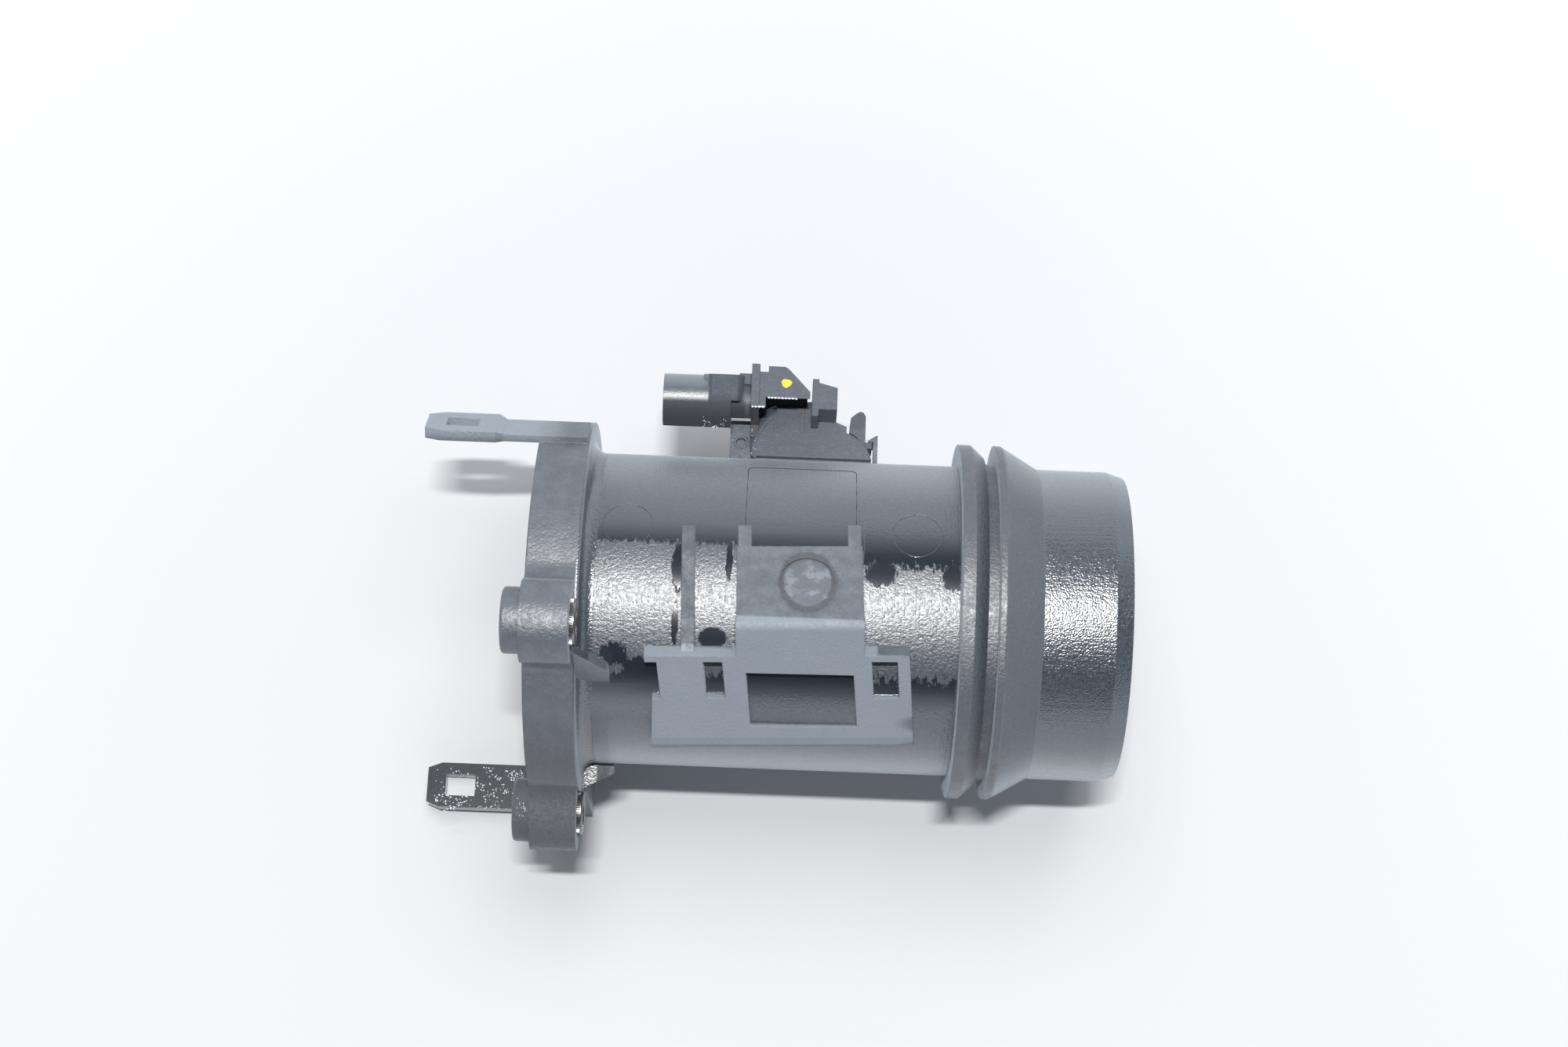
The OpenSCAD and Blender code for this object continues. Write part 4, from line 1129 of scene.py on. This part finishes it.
def beads_tree():
    """Flattened beads in loose clusters, let down on a surface; see BEAD_INPUTS."""
    tree = start_tree("dried_beads")
    ids = {name: group_input(tree, name, kind, default)
           for name, (kind, default) in BEAD_INPUTS.items()}
    given = tree.nodes.new("NodeGroupInput").outputs

    field = node_in(tree, "GeometryNodeMeshGrid",
                    [(given["Width"], "Size X"), (given["Depth"], "Size Y")])
    moved = node_in(tree, "GeometryNodeTransform",
                    [(field.outputs["Mesh"], "Geometry"), (given["Middle"], "Translation")])
    scatter = node_in(tree, "GeometryNodeDistributePointsOnFaces",
                      [(moved.outputs[0], "Mesh"), (given["Density"], "Density"),
                       (given["Seed"], "Seed")], distribute_method="RANDOM")
    cluster = node_in(tree, "ShaderNodeTexNoise", [(given["Cluster scale"], "Scale")])
    inside = node_in(tree, "FunctionNodeCompare", [(cluster.outputs["Fac"], 0)],
                     data_type="FLOAT", operation="LESS_THAN")
    inside.inputs[1].default_value = CLUSTER_SHARE
    thinned = node_in(tree, "GeometryNodeDeleteGeometry",
                      [(scatter.outputs["Points"], "Geometry"), (inside.outputs[0], "Selection")])

    body = node_in(tree, "GeometryNodeObjectInfo", [(given["Surface"], "Object")],
                   transform_space="ORIGINAL")
    ray = node_in(tree, "GeometryNodeRaycast", [(body.outputs["Geometry"], "Target Geometry")])
    ray.inputs["Ray Direction"].default_value = (0, 0, -1)
    ray.inputs["Ray Length"].default_value = BEAD_DROP * MM
    seated = node_in(tree, "GeometryNodeSetPosition",
                     [(thinned.outputs[0], "Geometry"), (ray.outputs["Is Hit"], "Selection"),
                      (ray.outputs["Hit Position"], "Position")])

    bead = node_in(tree, "GeometryNodeMeshIcoSphere", [(given["Bead radius"], "Radius")])
    bead.inputs["Subdivisions"].default_value = 2
    flat = node_in(tree, "GeometryNodeTransform", [(bead.outputs["Mesh"], "Geometry")])
    flat.inputs["Scale"].default_value = (1, 1, BEAD_FLATNESS)
    vary = node_in(tree, "FunctionNodeRandomValue", [(given["Seed"], "Seed")], data_type="FLOAT")
    vary.inputs[2].default_value, vary.inputs[3].default_value = BEAD_SIZES
    place = node_in(tree, "GeometryNodeInstanceOnPoints",
                    [(seated.outputs[0], "Points"), (flat.outputs[0], "Instance"),
                     (vary.outputs[1], "Scale")])
    finish_tree(tree, place.outputs[0], "dried_beads")
    return tree, ids


def make_beads():
    """Moisture that dried on the lower tab, the lower boss and the sensor."""
    tree, ids = beads_tree()
    for name, field in BEAD_FIELDS.items():
        surface, middle, width, depth, density, radius, cluster, seed = field
        values = {"Surface": nodes[surface], "Middle": tuple(c * MM for c in middle),
                  "Width": width * MM, "Depth": depth * MM, "Density": density / MM ** 2,
                  "Bead radius": radius * MM, "Cluster scale": cluster / MM, "Seed": seed}
        item = grown(name, tree, {ids[key]: value for key, value in values.items()})
        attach(item, "root")


# Camera, floor and light

CAMERA_PLACE = (0.0621, 0.02358, 0.7053)
CAMERA_TURN = 0.038
PICTURE_WIDTH = 36.0
LENS = 62.46
PART_MIDDLE = (0.06, 0.0, 0.0)
# name: place, width, depth, power, seen in reflections
LAMPS = {
    "key": ((0.045, 0.30, 1.5), 0.22, 0.03, 23.0, True),
    "softbox": ((0.10, 0.48, 0.87), 0.55, 0.46, 6.6, False),
}
SKY_COLOUR = (0.86, 0.94, 1.04, 1.0)
SKY_HEIGHTS = (0.25, 0.72)
SKY_STRENGTHS = (1.0, 0.03)
FLOOR_HALF = 2.0
FLOOR_COLOUR = (0.53, 0.545, 0.56)
FLOOR_EDGE_COLOUR = (0.66, 0.66, 0.66)
FLOOR_MIDDLE = (60.0, 100.0, FLOOR_Z)
FLOOR_REACH = 420.0


def make_camera():
    data = bpy.data.cameras.new("camera")
    data.sensor_width = PICTURE_WIDTH
    data.lens = LENS
    data.clip_start = 0.01
    data.clip_end = 20.0
    camera = bpy.data.objects.new("camera", data)
    camera.location = CAMERA_PLACE
    camera.rotation_euler = (0, 0, CAMERA_TURN)
    bpy.context.scene.collection.objects.link(camera)
    bpy.context.scene.camera = camera


def make_floor():
    """Pale card that gets a little lighter away from the part."""
    z = FLOOR_Z * MM
    corners = [(x, y, z) for x, y in ((-FLOOR_HALF, -FLOOR_HALF), (FLOOR_HALF, -FLOOR_HALF),
                                      (FLOOR_HALF, FLOOR_HALF), (-FLOOR_HALF, FLOOR_HALF))]
    mesh = bpy.data.meshes.new("floor")
    mesh.from_pydata(corners, [], [(0, 1, 2, 3)])
    floor = bpy.data.objects.new("floor", mesh)
    bpy.context.scene.collection.objects.link(floor)
    f = Finish("floor_card")
    lift = f.step(f.distance(f.mm, FLOOR_MIDDLE), 0.0, FLOOR_REACH)
    tooth = f.noise(f.mm, scale=0.8, detail=3.0, roughness=0.6)
    f.set(Base_Color=f.blend(lift, FLOOR_COLOUR, FLOOR_EDGE_COLOUR), Roughness=0.9,
          Normal=f.bump(tooth, 0.01), IOR=1.3)
    mesh.materials.append(f.material)


def make_lamps():
    for name, (place, width, depth, power, mirrored) in LAMPS.items():
        data = bpy.data.lights.new(name, "AREA")
        data.shape = "RECTANGLE"
        data.size = width
        data.size_y = depth
        data.energy = power
        lamp = bpy.data.objects.new(name, data)
        lamp.visible_glossy = mirrored
        lamp.location = place
        towards_part = Vector(PART_MIDDLE) - Vector(place)
        lamp.rotation_euler = towards_part.to_track_quat("-Z", "Y").to_euler()
        bpy.context.scene.collection.objects.link(lamp)


def make_sky():
    """Studio light that is bright near the horizon and dark overhead."""
    world = bpy.data.worlds.new("studio")
    bpy.context.scene.world = world
    world.use_nodes = True
    tree = world.node_tree
    background = tree.nodes["Background"]
    direction = tree.nodes.new("ShaderNodeTexCoord").outputs["Generated"]
    split = tree.nodes.new("ShaderNodeSeparateXYZ")
    tree.links.new(direction, split.inputs[0])
    ramp = tree.nodes.new("ShaderNodeMapRange")
    ramp.interpolation_type = "SMOOTHSTEP"
    tree.links.new(split.outputs[2], ramp.inputs["Value"])
    for name, value in zip(("From Min", "From Max", "To Min", "To Max"),
                           (*SKY_HEIGHTS, *SKY_STRENGTHS)):
        ramp.inputs[name].default_value = value
    tree.links.new(ramp.outputs[0], background.inputs["Strength"])
    background.inputs["Color"].default_value = SKY_COLOUR


bpy.context.scene.view_settings.view_transform = "Standard"
dress_nodes()
make_bushes()
make_paint_dot()
make_ejector_rings()
make_insert_outline()
make_sensor_details()
make_edge_glints()
make_beads()
make_camera()
make_floor()
make_lamps()
make_sky()
